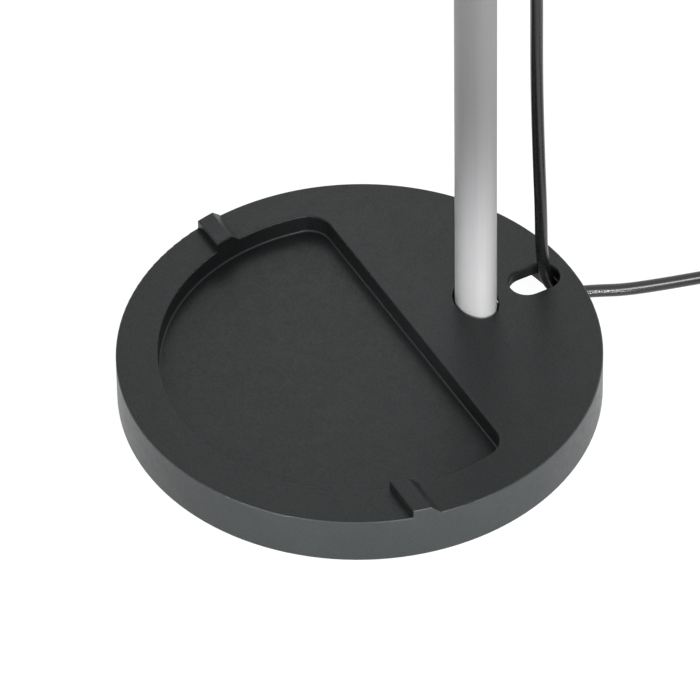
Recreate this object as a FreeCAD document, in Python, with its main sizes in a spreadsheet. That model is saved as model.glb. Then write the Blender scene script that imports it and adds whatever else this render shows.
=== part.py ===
"""Desk lamp whose round foot has a pen-and-clip tray moulded into it.

Millimetres, +Z up. The origin is the middle of the foot's underside, on the table. +Y runs from the tray
to the post, and the arm reaches forwards, towards -Y. Each piece is one object of the document and one
STEP file.
"""

import FreeCAD
import Part

import math
import os
import re

import Sketcher
from FreeCAD import Vector

SIZES = {
    # foot
    "BaseDiameter": 225,
    "DeckHeight": 24.5,
    "SkirtGap": 0.5,
    "SkirtWall": 3,
    "DeckThickness": 3,
    "RimRound": 0.8,
    # tray
    "RimWidth": 20.1,
    "TrayAcross": -1.3,
    "TrayBack": 28.7,
    "TrayDepth": 9.5,
    "TrayCorner": 12,
    "TrayFloor": 2.5,
    "TrayWall": 3,
    "TrayLip": 0.7,
    "TrayFoot": 1,
    # pen stops across the rim
    "StopRise": 4.4,
    "StopTop": 8.2,
    "StopSlope": 4.6,
    "StopRound": 0.8,
    "StopRightFace": -31.5,
    "StopLeftFace": -26,
    # openings in the deck
    "PostAcross": -2.4,
    "PostToSlot": 18.3,
    "PostHoleGap": 1.2,
    "SlotAcross": -1.5,
    "SlotRimGap": 3.5,
    "SlotLength": 24.7,
    "SlotWidth": 17,
    "SlotCollar": 6.3,
    "SlotLip": 2,
    "SlotRound": 0.9,
    "NotchAcross": -4.1,
    "NotchWidth": 8.6,
    "NotchHeight": 11,
    # ballast
    "PlateThickness": 8,
    "PlateGap": 0.6,
    "BayWidth": 72,
    "BayAhead": 2.8,
    "PadThickness": 2,
    "PadInset": 3,
    "WeightLength": 118,
    "WeightBayGap": 6.5,
    "WeightThickness": 9,
    "WeightGap": 1,
    "WeightCorner": 6,
    "WeightScrewSpread": 44,
    "BossCount": 5,
    "BossInset": 7.5,
    "BossDiameter": 9,
    "BossHole": 9.5,
    # clearances
    "FitGap": 0.05,
    "RunGap": 0.08,
    "HoleGap": 0.3,
    # post
    "PostLong": 24.5,
    "PostShort": 18,
    "PostEnd": 7.1,
    "PostWall": 1.5,
    "PostLength": 390,
    "PlugLength": 25,
    "BoltShank": 8,
    "BoltHead": 13,
    "BoltHeadHeight": 5,
    "BoltLength": 22,
    "LockWasherDiameter": 14.8,
    "LockWasherThickness": 0.8,
    "BoreDepth": 6,
    # screws
    "ShellScrewShank": 3.5,
    "ShellScrewHead": 7,
    "ShellScrewHeadHeight": 2.2,
    "ShellScrewLength": 16,
    "WeightScrewShank": 5,
    "WeightScrewHead": 9.6,
    "WeightScrewHeadHeight": 2.6,
    "WeightScrewLength": 14,
    "SmallScrewShank": 2.5,
    "SmallScrewHead": 4.6,
    "SmallScrewHeadHeight": 1.4,
    "SmallScrewLength": 8,
    # head of the post
    "SocketDepth": 22,
    "SocketWall": 2.7,
    "PostHeadHeight": 30,
    "PostHeadRadius": 16,
    "PostHeadTail": 10.5,
    "PostHeadWall": 2.5,
    "PostHeadWeb": 2.5,
    "LidThickness": 3,
    "LidScrewBoss": 5.2,
    "LidScrewSide": 8.4,
    "LidScrewBehind": 16,
    "LidScrewFront": 11,
    "LeadBehind": 29,
    "SetScrewDiameter": 5,
    "SetScrewSunk": 0.3,
    "SetScrewDrive": 2,
    "ReliefNeck": 9,
    "ReliefCollar": 12,
    "ReliefFlange": 13,
    "ReliefTop": 11,
    "ReliefTip": 7.8,
    "ReliefLength": 30,
    "ReliefFlangeHeight": 2.5,
    "TerminalLength": 11,
    "TerminalDepth": 8,
    "TerminalHeight": 11,
    # swivel
    "SpindleDiameter": 10,
    "SpindleBore": 6,
    "SpindleFlange": 14,
    "SpindleFlangeHeight": 2.5,
    "SwivelWasherThickness": 1,
    "SwivelWasherDiameter": 26,
    "NutWasherDiameter": 13.6,
    "SwivelNutAcross": 11.6,
    "SwivelNutHeight": 3.6,
    "SpindleProud": 0.8,
    "TurretRadius": 16,
    "TurretFloor": 6,
    "TurretHeight": 34,
    "TurretRound": 2,
    # hinges of the arm and the head
    "HingeRise": 17,
    "KnuckleRadius": 8.6,
    "KnuckleWidth": 13.8,
    "HingeWasherThickness": 0.5,
    "HingeWasherDiameter": 15,
    "HingeBolt": 6,
    "HingeBoltHead": 9.6,
    "HingeBoltHeadHeight": 3.2,
    "HingeNutAcross": 8.7,
    "HingeNutHeight": 3,
    "HingeCapThickness": 1,
    "HingeNeck": 16,
    "NeckDiameter": 12.6,
    # arm
    "ArmDiameter": 14,
    "ArmWall": 1.2,
    "ArmLength": 260,
    "SpigotLength": 18,
    "WireBore": 4.4,
    "WireDiameter": 3.8,
    "PinDiameter": 2,
    # head
    "EarThickness": 6.4,
    "EarRadius": 9,
    "BracketReach": 19,
    "BracketBlock": 8,
    "TongueLength": 18,
    "TongueWidth": 20,
    "TongueThickness": 3,
    "TongueScrewBack": 11,
    "TongueScrewSide": 6,
    "TongueScrewLength": 4.4,
    "HeadLength": 200,
    "HeadWidth": 60,
    "HeadThickness": 14,
    "HeadWall": 2,
    "HeadCorner": 12,
    "HeadRound": 2.5,
    "RearSection": 48,
    "SinkWidth": 44,
    "SinkThickness": 2,
    "SinkDrop": 2,
    "SinkScrewSide": 18.5,
    "SinkScrewInset": 6,
    "SinkScrewLength": 3.8,
    "SinkPostDiameter": 5.6,
    "BoardWidth": 30,
    "BoardThickness": 1.6,
    "ChipSize": 2.8,
    "ChipHeight": 0.7,
    "ChipColumns": 12,
    "ChipPitch": 11.6,
    "ChipRowSpread": 14,
    "FrameThickness": 3,
    "FrameGap": 0.15,
    "WindowWidth": 38,
    "DiffuserWidth": 42,
    "DiffuserThickness": 2,
    "DiffuserInset": 1.6,
    "FrameScrewSide": 25.2,
    "FrameScrewInset": 12,
    "FramePostDiameter": 5.4,
    "DriverWidth": 44,
    "DriverLength": 42,
    "DriverThickness": 1.6,
    "DriverInset": 3.2,
    # switch
    "ButtonDiameter": 11.6,
    "ButtonGap": 0.3,
    "ButtonProud": 1.6,
    "ButtonFlange": 15,
    "ButtonFlangeHeight": 1.2,
    "ButtonBack": 34,
    "ButtonStem": 3.6,
    "ButtonTravel": 1.2,
    "SwitchSize": 6,
    "SwitchHeight": 2.6,
    "PlungerDiameter": 3.4,
    "PlungerHeight": 1,
    # mains lead
    "LeadDiameter": 6,
    "CoilAcross": 70,
    "CoilBeyond": 205,
    "CoilInnerTurn": 24,
    "CoilTurnsBelow": 4,
    "CoilTurnsAbove": 3,
    "CoilEntry": 164,
    "CoilExit": 44,
    "PlugLengthways": 32,
    "PlugWidth": 34,
    "PlugBack": 18,
    "PlugThickness": 13.6,
    "PlugSleeve": 16,
    "PinLength": 19,
    "PinSpacing": 18.8,
    "PlugPinDiameter": 4,
}

DOC = FreeCAD.newDocument("DeskLamp")
SHEET = DOC.addObject("Spreadsheet::Sheet", "Sizes")
PIECES = []

# heights, as expressions of the sheet's sizes
PLATE_TOP = "(PadThickness + PlateThickness)"
DECK_UNDER = "(DeckHeight - DeckThickness)"
TRAY_UNDER = "(DeckHeight - TrayDepth - TrayFloor)"
STOP_TOP = "(DeckHeight + StopRise)"
POST_TOP = f"({PLATE_TOP} + PostLength)"
HEAD_FLOOR = f"({POST_TOP} - SocketDepth)"
HEAD_RIM = f"({HEAD_FLOOR} + PostHeadHeight)"
LID_TOP = f"({HEAD_RIM} + LidThickness)"
TURRET_FOOT = f"({LID_TOP} + SwivelWasherThickness)"
TURRET_DECK = f"({TURRET_FOOT} + TurretFloor)"
HINGE = f"({TURRET_DECK} + HingeRise)"
LAMP_TOP = f"({HINGE} + HeadThickness / 2)"
LAMP_UNDER = f"({HINGE} - HeadThickness / 2)"
LAMP_CEILING = f"({LAMP_TOP} - HeadWall)"
SINK_TOP = f"({LAMP_CEILING} - SinkDrop)"
SINK_UNDER = f"({SINK_TOP} - SinkThickness)"
BOARD_UNDER = f"({SINK_UNDER} - BoardThickness)"
FRAME_TOP = f"({LAMP_UNDER} + FrameThickness)"
DRIVER_TOP = f"({FRAME_TOP} + DriverThickness)"

# the radius of the post's flatter sides, which makes them run smoothly into its ends
POST_SIDE = "(((PostLong / 2 - PostEnd) ^ 2 + (PostShort / 2) ^ 2 - PostEnd ^ 2) / (PostShort - 2 * PostEnd))"

# places along Y
SHELL_RADIUS = "(BaseDiameter / 2)"
SKIRT_INSIDE = "(BaseDiameter / 2 - SkirtWall)"
TRAY_RADIUS = "(BaseDiameter / 2 - RimWidth)"
BOSS_CIRCLE = f"({SKIRT_INSIDE} - BossInset)"
SLOT_START = f"({SKIRT_INSIDE} - SlotRimGap - SlotLength)"
POST_Y = f"({SLOT_START} - PostToSlot)"
BAY_START = f"({SLOT_START} - BayAhead)"
LEAD_Y = f"({POST_Y} + LeadBehind)"
FRONT_HINGE = f"({POST_Y} - 2 * HingeNeck - ArmLength)"
LAMP_BACK = f"({FRONT_HINGE} - BracketReach)"
LAMP_FRONT = f"({LAMP_BACK} - HeadLength)"
SINK_BACK = f"({LAMP_BACK} - RearSection)"
SINK_FRONT = f"({LAMP_FRONT} + HeadWall + DiffuserInset)"
BUTTON_Y = f"({LAMP_BACK} - ButtonBack)"
HINGE_GAP = "(KnuckleWidth / 2 + HingeWasherThickness)"
OVER = 5  # how far a cut runs past the face it opens, where nothing is in its way


def full(expression):
    """Names the sheet in front of each size of an expression."""
    return re.sub(r"\b([A-Z]\w*)\b", r"Sizes.\1", str(expression))


def number(expression):
    """The value of an expression of the sheet's sizes."""
    result = SHEET.evalExpression(str(expression))
    return float(getattr(result, "Value", result))


def fill_sheet():
    """Writes each size in a cell of its own, with its name as the alias."""
    for row, (name, size) in enumerate(SIZES.items(), start=1):
        SHEET.set(f"A{row}", name)
        SHEET.set(f"B{row}", str(size))
        SHEET.setAlias(f"B{row}", name)
    DOC.recompute()


# ---------------------------------------------------------------- sketches


def bind(sketch, kind, where, expression):
    """Adds a dimension whose value follows an expression."""
    index = sketch.addConstraint(Sketcher.Constraint(kind, *where, number(expression)))
    sketch.renameConstraint(index, f"size{index}")
    sketch.setExpression(f"Constraints.size{index}", full(expression))


def pin(sketch, shape, point, x, y):
    """Holds one point of a shape at an expression's place."""
    bind(sketch, "DistanceX", (-1, 1, shape, point), x)
    bind(sketch, "DistanceY", (-1, 1, shape, point), y)


def polygon(sketch, corners):
    """A closed outline of straight lines, each corner an (x, y) pair of expressions."""
    spots = [Vector(number(x), number(y), 0) for x, y in corners]
    first = sketch.GeometryCount
    count = len(corners)
    for here, there in zip(spots, spots[1:] + spots[:1]):
        sketch.addGeometry(Part.LineSegment(here, there), False)
    for k in range(count):
        sketch.addConstraint(Sketcher.Constraint("Coincident", first + k, 2, first + (k + 1) % count, 1))
    for k, (x, y) in enumerate(corners):
        pin(sketch, first + k, 1, x, y)


def rectangle(sketch, low_x, low_y, high_x, high_y):
    """An upright rectangle between two corners."""
    polygon(sketch, [(low_x, low_y), (high_x, low_y), (high_x, high_y), (low_x, high_y)])


def hexagon(sketch, x, y, across):
    """A nut's outline, `across` its flats."""
    reach = f"({across}) / sqrt(3)"
    polygon(sketch, [(f"{x} + {reach} * cos({60 * k})", f"{y} + {reach} * sin({60 * k})") for k in range(6)])


def circle(sketch, x, y, radius):
    """A circle at an (x, y) pair of expressions."""
    shape = sketch.addGeometry(
        Part.Circle(Vector(number(x), number(y), 0), Vector(0, 0, 1), number(radius)), False
    )
    pin(sketch, shape, 3, x, y)
    bind(sketch, "Radius", (shape,), radius)


def arc(sketch, centre, radius, start, end):
    """An arc, drawn anticlockwise between two angles in radians."""
    full_circle = Part.Circle(Vector(*centre, 0), Vector(0, 0, 1), radius)
    return sketch.addGeometry(Part.ArcOfCircle(full_circle, start, end), False)


def close_smoothly(sketch, shapes):
    """Joins shapes end to start, each tangent to the next."""
    for here, there in zip(shapes, shapes[1:] + shapes[:1]):
        sketch.addConstraint(Sketcher.Constraint("Tangent", here, 2, there, 1))


def line(sketch, start, end):
    """A straight line between two (x, y) pairs of numbers."""
    return sketch.addGeometry(Part.LineSegment(Vector(*start, 0), Vector(*end, 0)), False)


def egg(sketch, near, near_radius, far, far_radius, x, lengthways=True):
    """Two round ends at `near` and `far`, joined by tangent lines, along Y or along X when not lengthways."""
    turn = 0 if lengthways else -math.pi / 2
    across, first, second = number(x), number(near), number(far)
    small, large = number(far_radius), number(near_radius)
    lean = math.asin((large - small) / (second - first))

    def spot(along, radius=0.0, angle=0.0):
        u = across + radius * math.cos(angle)
        v = along + radius * math.sin(angle)
        return (u, v) if lengthways else (v, -u)

    base = arc(sketch, spot(first), large, math.pi - lean + turn, 2 * math.pi + lean + turn)
    right = line(sketch, spot(first, large, lean), spot(second, small, lean))
    crown = arc(sketch, spot(second), small, lean + turn, math.pi - lean + turn)
    left = line(sketch, spot(second, small, math.pi - lean), spot(first, large, math.pi - lean))
    close_smoothly(sketch, [base, right, crown, left])
    for shape, along, radius in ((base, near, near_radius), (crown, far, far_radius)):
        place = (x, along) if lengthways else (along, f"-({x})")
        pin(sketch, shape, 3, *place)
        bind(sketch, "Radius", (shape,), radius)


def oval(sketch, grow="0"):
    """The post's section about the sketch's origin, long along X: four tangent arcs, set out by `grow`."""
    side_radius, end_radius = f"({POST_SIDE} + {grow})", f"(PostEnd + {grow})"
    reach, drop = number("PostLong / 2 - PostEnd"), number(f"{POST_SIDE} - PostShort / 2")
    lean = math.atan2(drop, reach)
    large, small = number(side_radius), number(end_radius)
    right = arc(sketch, (reach, 0), small, -lean, lean)
    top = arc(sketch, (0, -drop), large, lean, math.pi - lean)
    left = arc(sketch, (-reach, 0), small, math.pi - lean, math.pi + lean)
    bottom = arc(sketch, (0, drop), large, math.pi + lean, 2 * math.pi - lean)
    close_smoothly(sketch, [right, top, left, bottom])
    pin(sketch, right, 3, "PostLong / 2 - PostEnd", "0")
    pin(sketch, left, 3, "PostEnd - PostLong / 2", "0")
    for shape, radius in ((right, end_radius), (left, end_radius), (top, side_radius), (bottom, side_radius)):
        bind(sketch, "Radius", (shape,), radius)


def panel(sketch, low_x, low_y, high_x, high_y, corner):
    """An upright rectangle with round corners."""
    x0, y0, x1, y1, r = (number(e) for e in (low_x, low_y, high_x, high_y, corner))
    quarter = math.pi / 2
    shapes = [
        line(sketch, (x0 + r, y0), (x1 - r, y0)),
        arc(sketch, (x1 - r, y0 + r), r, -quarter, 0),
        line(sketch, (x1, y0 + r), (x1, y1 - r)),
        arc(sketch, (x1 - r, y1 - r), r, 0, quarter),
        line(sketch, (x1 - r, y1), (x0 + r, y1)),
        arc(sketch, (x0 + r, y1 - r), r, quarter, 2 * quarter),
        line(sketch, (x0, y1 - r), (x0, y0 + r)),
        arc(sketch, (x0 + r, y0 + r), r, 2 * quarter, 3 * quarter),
    ]
    close_smoothly(sketch, shapes)
    low = (f"{low_x} + {corner}", f"{low_y} + {corner}")
    high = (f"{high_x} - {corner}", f"{high_y} - {corner}")
    corners = ((1, high[0], low[1]), (3, high[0], high[1]), (5, low[0], high[1]), (7, low[0], low[1]))
    for shape, x, y in corners:
        pin(sketch, shapes[shape], 3, x, y)
        bind(sketch, "Radius", (shapes[shape],), corner)


def tray_outline(sketch, grow):
    """The tray's D: a large arc, a straight back and two round corners, all moved outwards by `grow`."""
    radius, corner = number(f"{TRAY_RADIUS} + {grow}"), number(f"TrayCorner + {grow}")
    back, depth = number(f"TrayBack + {grow}"), number("TrayBack - TrayCorner")
    side = math.sqrt((radius - corner) ** 2 - depth**2)
    lean = math.atan2(depth, side)
    quarter = math.pi / 2
    shapes = [
        arc(sketch, (0, 0), radius, math.pi - lean, 2 * math.pi + lean),
        arc(sketch, (side, depth), corner, lean, quarter),
        line(sketch, (side, back), (-side, back)),
        arc(sketch, (-side, depth), corner, quarter, math.pi - lean),
    ]
    close_smoothly(sketch, shapes)
    pin(sketch, shapes[0], 3, "0", "0")
    bind(sketch, "Radius", (shapes[0],), f"{TRAY_RADIUS} + {grow}")
    bind(sketch, "DistanceY", (-1, 1, shapes[2], 1), f"TrayBack + {grow}")
    sketch.addConstraint(Sketcher.Constraint("Horizontal", shapes[2]))
    for shape in (shapes[1], shapes[3]):
        bind(sketch, "Radius", (shape,), f"TrayCorner + {grow}")


def countersunk(screw, length, way=1, ease="0"):
    """The half profile of a countersunk screw from its flat face, or of its hole when there is `ease`."""
    head = f"({screw}Head / 2 + {ease})"
    shank = f"({screw}Shank / 2 + {ease})"
    neck = f"{way} * {screw}HeadHeight"
    tip = f"{way} * ({length})"
    return [("0", "0"), (head, "0"), (shank, neck), (shank, tip), ("0", tip)]


# ---------------------------------------------------------------- solids


class Piece:
    """One physical piece: a PartDesign body whose label is its node's name."""

    def __init__(self, label):
        self.body = DOC.addObject("PartDesign::Body", label)
        self.body.Label = label
        self.body.AllowCompound = True
        self.label = label
        PIECES.append(self.body)

    def origin(self, role):
        return next(f for f in self.body.Origin.OriginFeatures if f.Role == role)

    def sketch(self, plane, x="0", y="0", z="0"):
        """An empty sketch parallel to an origin plane, its own origin at the place given."""
        sketch = self.body.newObject("Sketcher::SketchObject", self.label + "_sketch")
        sketch.AttachmentSupport = [(self.origin(plane + "_Plane"), "")]
        sketch.MapMode = "FlatFace"
        shift = {"XY": (x, y, z), "XZ": (x, z, f"-({y})"), "YZ": (y, z, x)}[plane]
        for axis, expression in zip("xyz", shift):
            sketch.setExpression("AttachmentOffset.Base." + axis, full(expression))
        return sketch

    def _feature(self, kind, sketch, adds, **settings):
        """Makes a feature from a sketch and checks that it added or took away material."""
        before = self.body.Shape.Volume if self.body.Tip else 0.0
        feature = self.body.newObject("PartDesign::" + kind, f"{self.label}_{kind.lower()}")
        feature.Profile = sketch
        for name, value in settings.items():
            if isinstance(value, str):
                feature.setExpression(name, full(value))
            else:
                setattr(feature, name, value)
        self.body.Tip = feature
        DOC.recompute()
        change = self.body.Shape.Volume - before
        if feature.State != ["Up-to-date"] or (change <= 0 if adds else change >= 0):
            raise RuntimeError(f"{feature.Name} changed nothing: {feature.State}, {change:.3f} mm3")
        return feature

    def pad(self, sketch, length, **settings):
        """Adds material along the sketch's normal."""
        return self._feature("Pad", sketch, True, Length=length, **settings)

    def cut(self, sketch, depth, along=False, **settings):
        """Takes material away against the sketch's normal, or along it."""
        return self._feature("Pocket", sketch, False, Length=depth, Reversed=along, **settings)

    def turn(self, sketch, axis="V_Axis"):
        """Adds a full turn of a half profile about the sketch's own axis."""
        return self._feature("Revolution", sketch, True, ReferenceAxis=(sketch, [axis]), Angle=360.0)

    def groove(self, sketch, axis="V_Axis"):
        """Takes away a full turn of a half profile about the sketch's own axis."""
        return self._feature("Groove", sketch, False, ReferenceAxis=(sketch, [axis]), Angle=360.0)

    def turned(self, profile, x="0", y="0", z="0"):
        """Adds an upright turned solid from (radius, height) pairs."""
        sketch = self.sketch("XZ", x, y, z)
        polygon(sketch, profile)
        return self.turn(sketch)

    def turned_across(self, profile, x="0", y="0", z="0"):
        """Adds a turned solid about the X direction, from (place along X, radius) pairs."""
        sketch = self.sketch("XZ", x, y, z)
        polygon(sketch, profile)
        return self.turn(sketch, "H_Axis")

    def sunk(self, profile, x="0", y="0", z="0"):
        """Cuts an upright turned hole from (radius, height) pairs."""
        sketch = self.sketch("XZ", x, y, z)
        polygon(sketch, profile)
        return self.groove(sketch)

    def drum(self, radius, low, high, x="0", y="0"):
        """Adds an upright cylinder between two heights."""
        sketch = self.sketch("XY", x, y, low)
        circle(sketch, "0", "0", radius)
        return self.pad(sketch, f"({high}) - ({low})")

    def bore(self, radius, low, high, x="0", y="0"):
        """Cuts an upright round hole between two heights."""
        sketch = self.sketch("XY", x, y, high)
        circle(sketch, "0", "0", radius)
        return self.cut(sketch, f"({high}) - ({low})")

    def rounded(self, radius, wanted):
        """Rounds the edges that `wanted` picks from the piece so far."""
        names = [f"Edge{k}" for k, edge in enumerate(self.body.Shape.Edges, start=1) if wanted(edge)]
        base = self.body.Tip
        fillet = self.body.newObject("PartDesign::Fillet", self.label + "_fillet")
        fillet.Base = (base, names)
        fillet.setExpression("Radius", full(radius))
        self.body.Tip = fillet
        DOC.recompute()
        if not names or fillet.State != ["Up-to-date"]:
            raise RuntimeError(f"{fillet.Name} failed on {names}")
        return fillet


def at_height(height):
    """Picks edges that lie wholly at one height."""
    level = number(height)
    return lambda edge: abs(edge.BoundBox.ZMin - level) < 1e-4 and abs(edge.BoundBox.ZMax - level) < 1e-4


def ring(label, inner, outer, low, high, x="0", y="0"):
    """A flat washer or a tube between two heights."""
    piece = Piece(label)
    sketch = piece.sketch("XY", x, y, low)
    circle(sketch, "0", "0", outer)
    circle(sketch, "0", "0", inner)
    piece.pad(sketch, f"({high}) - ({low})")
    return piece


def block(label, low, high):
    """A plain box between two (x, y, z) corners of expressions."""
    piece = Piece(label)
    sketch = piece.sketch("XY", z=low[2])
    rectangle(sketch, low[0], low[1], high[0], high[1])
    piece.pad(sketch, f"({high[2]}) - ({low[2]})")
    return piece


# ---------------------------------------------------------------- foot


def boss_places():
    """Where the shell's screws stand, evenly round the rim with none behind the post."""
    count = int(number("BossCount"))
    angles = [270 + 360 * k / count for k in range(count)]
    return [(f"{BOSS_CIRCLE} * cos({a})", f"{BOSS_CIRCLE} * sin({a})") for a in angles]


def weight_screw_places():
    """Where the two counterweight screws stand, one each side of the post."""
    return [(f"{side} * WeightScrewSpread", f"{POST_Y} - 6") for side in (-1, 1)]


def make_base_shell():
    """The moulded cover: deck, skirt, tray, pen stops, and the openings for the post and the lead."""
    shell = Piece("base_shell")
    shell.drum(SHELL_RADIUS, "SkirtGap", "DeckHeight")
    shell.rounded("RimRound", at_height("DeckHeight"))
    rim = number(f"{SHELL_RADIUS} - RimRound")

    tray = shell.sketch("XY", "TrayAcross", z="DeckHeight")
    tray_outline(tray, "0")
    shell.cut(tray, "TrayDepth")
    lip = at_height("DeckHeight")
    shell.rounded("TrayLip", lambda edge: lip(edge) and edge.BoundBox.XMax < rim - 1)
    shell.rounded("TrayFoot", at_height("DeckHeight - TrayDepth"))

    low = "(DeckHeight - TrayLip)"
    reach = f"({SHELL_RADIUS} + {OVER})"
    inner = f"({TRAY_RADIUS} - TrayCorner)"
    for face, start in (("StopRightFace", inner), ("StopLeftFace", f"-{reach}")):
        stop = shell.sketch("YZ", x=start)
        back = f"{face} + StopTop"
        foot = f"{back} + StopSlope"
        polygon(stop, [(face, low), (foot, low), (foot, "DeckHeight"), (back, STOP_TOP), (face, STOP_TOP)])
        shell.pad(stop, f"{reach} - {inner}")
    trim = shell.sketch("XY", "TrayAcross", z=f"{STOP_TOP} + 1")
    tray_outline(trim, "0")
    shell.cut(trim, "StopRise + TrayLip + 1")
    outside = shell.sketch("XZ")
    rectangle(outside, SHELL_RADIUS, "DeckHeight - 2 * RimRound", f"{reach} + {OVER}", f"{STOP_TOP} + 1")
    shell.groove(outside)
    shell.rounded("StopRound", at_height(STOP_TOP))

    under_rim = shell.sketch("XY", "TrayAcross", z="SkirtGap")
    circle(under_rim, "-TrayAcross", "0", SKIRT_INSIDE)
    tray_outline(under_rim, "TrayWall")
    shell.cut(under_rim, f"{DECK_UNDER} - SkirtGap", along=True)
    under_tray = shell.sketch("XY", "TrayAcross", z="SkirtGap")
    tray_outline(under_tray, "TrayWall")
    shell.cut(under_tray, f"{TRAY_UNDER} - SkirtGap", along=True)

    hole = shell.sketch("XY", "PostAcross", POST_Y, f"DeckHeight + {OVER}")
    oval(hole, "PostHoleGap")
    shell.cut(hole, f"DeckThickness + 2 * {OVER}")

    near = f"({SLOT_START} + SlotWidth / 2)"
    far = f"({SLOT_START} + SlotLength - SlotWidth / 2)"
    collar = shell.sketch("XY", z="DeckHeight - SlotCollar")
    collar_radius = "(SlotWidth / 2 + SlotLip)"
    egg(collar, near, collar_radius, far, collar_radius, "SlotAcross")
    shell.pad(collar, "SlotCollar - DeckThickness")
    slot = shell.sketch("XY", z="DeckHeight + 1")
    egg(slot, near, "SlotWidth / 2", far, "SlotWidth / 2", "SlotAcross")
    shell.cut(slot, "SlotCollar + 2")
    top = at_height("DeckHeight")
    slot_near, slot_far = number(SLOT_START), number(f"{SLOT_START} + SlotLength")
    slot_side = number("SlotWidth / 2 + 1")
    middle = number("SlotAcross")
    shell.rounded(
        "SlotRound",
        lambda edge: top(edge)
        and edge.BoundBox.YMin > slot_near - 0.1
        and edge.BoundBox.YMax < slot_far + 0.1
        and abs(edge.BoundBox.Center.x - middle) < slot_side,
    )
    notch = shell.sketch("XZ", x="NotchAcross", y=f"{SKIRT_INSIDE} - {OVER}")
    rectangle(notch, "-NotchWidth / 2", "SkirtGap - 1", "NotchWidth / 2", "NotchHeight")
    shell.cut(notch, f"SkirtWall + 2 * {OVER}")

    bosses = shell.sketch("XY", z=PLATE_TOP)
    for x, y in boss_places():
        circle(bosses, x, y, "BossDiameter / 2")
    shell.pad(bosses, f"{DECK_UNDER} - {PLATE_TOP}")
    holes = shell.sketch("XY", z=PLATE_TOP)
    for x, y in boss_places():
        circle(holes, x, y, "ShellScrewShank / 2 + FitGap")
    shell.cut(holes, "BossHole", along=True)


def lead_bay(piece, low, high, ease):
    """Cuts the bay that the lead comes down into, behind the post."""
    bay = piece.sketch("XY", z=high)
    rectangle(bay, f"-BayWidth / 2 - {ease}", f"{BAY_START} - {ease}", f"BayWidth / 2 + {ease}", SHELL_RADIUS)
    piece.cut(bay, f"({high}) - ({low})")


def make_ballast():
    """The steel plate, the second weight, the pad and what fastens them together."""
    plate = Piece("base_plate")
    plate.drum(f"{SKIRT_INSIDE} - PlateGap", "PadThickness", PLATE_TOP)
    lead_bay(plate, "PadThickness", PLATE_TOP, "0")
    plate.bore("BoltShank / 2 + HoleGap", "PadThickness", PLATE_TOP, "PostAcross", POST_Y)
    bolt_seat = "(PadThickness + BoreDepth)"
    plate.bore("LockWasherDiameter / 2 + HoleGap", "PadThickness", bolt_seat, "PostAcross", POST_Y)
    for x, y in boss_places():
        plate.sunk(countersunk("ShellScrew", "PlateThickness", ease="FitGap"), x, y, "PadThickness")
    for x, y in weight_screw_places():
        plate.sunk(countersunk("WeightScrew", "PlateThickness", ease="FitGap"), x, y, "PadThickness")

    weight = Piece("counterweight")
    front = "(TrayBack + TrayWall + WeightGap)"
    outline = weight.sketch("XY", z=PLATE_TOP)
    back = f"{BAY_START} - WeightBayGap"
    panel(outline, "-WeightLength / 2", front, "WeightLength / 2", back, "WeightCorner")
    weight.pad(outline, "WeightThickness")
    weight_top = f"({PLATE_TOP} + WeightThickness)"
    well = weight.sketch("XY", "PostAcross", POST_Y, weight_top)
    oval(well, "FitGap")
    weight.cut(well, f"({weight_top}) - ({PLATE_TOP})")
    for x, y in weight_screw_places():
        weight.bore("WeightScrewShank / 2 + FitGap", PLATE_TOP, weight_top, x, y)

    pad = Piece("non_slip_pad")
    pad.drum(f"{SKIRT_INSIDE} - PadInset", "0", "PadThickness")
    lead_bay(pad, "0", "PadThickness", "1")

    shell_screws = Piece("shell_screws")
    for x, y in boss_places():
        shell_screws.turned(countersunk("ShellScrew", "ShellScrewLength"), x, y, "PadThickness")
    weight_screws = Piece("counterweight_screws")
    for x, y in weight_screw_places():
        weight_screws.turned(countersunk("WeightScrew", "WeightScrewLength"), x, y, "PadThickness")

    ring(
        "bolt_washer",
        "BoltShank / 2 + HoleGap",
        "LockWasherDiameter / 2",
        f"{bolt_seat} - LockWasherThickness",
        bolt_seat,
        "PostAcross",
        POST_Y,
    )
    bolt = Piece("post_bolt")
    shank, head = "BoltShank / 2", "BoltHead / 2"
    profile = [("0", "-BoltHeadHeight"), (head, "-BoltHeadHeight"), (head, "0"), (shank, "0")]
    profile += [(shank, "BoltLength"), ("0", "BoltLength")]
    bolt.turned(profile, "PostAcross", POST_Y, f"{bolt_seat} - LockWasherThickness")
    socket = bolt.sketch("XY", "PostAcross", POST_Y, f"{bolt_seat} - LockWasherThickness - BoltHeadHeight")
    hexagon(socket, "0", "0", "BoltShank * 0.75")
    bolt.cut(socket, "BoltHeadHeight * 0.6", along=True)


# ---------------------------------------------------------------- post and its head


def make_post():
    """The tube, with the threaded plug that the foot's bolt pulls down on."""
    post = Piece("post_tube")
    section = post.sketch("XY", "PostAcross", POST_Y, PLATE_TOP)
    oval(section)
    oval(section, "-PostWall")
    post.pad(section, f"({POST_TOP}) - ({PLATE_TOP})")
    plug = Piece("post_foot_plug")
    section = plug.sketch("XY", "PostAcross", POST_Y, PLATE_TOP)
    oval(section, "(-PostWall - FitGap)")
    circle(section, "0", "0", "BoltShank / 2 + FitGap")
    plug.pad(section, "PlugLength")


def lid_screw_places():
    """Where the lid's three screws stand."""
    sides = [(f"PostAcross + {side} * LidScrewSide", f"{POST_Y} + LidScrewBehind") for side in (-1, 1)]
    return sides + [("PostAcross", f"{POST_Y} - LidScrewFront")]


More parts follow.
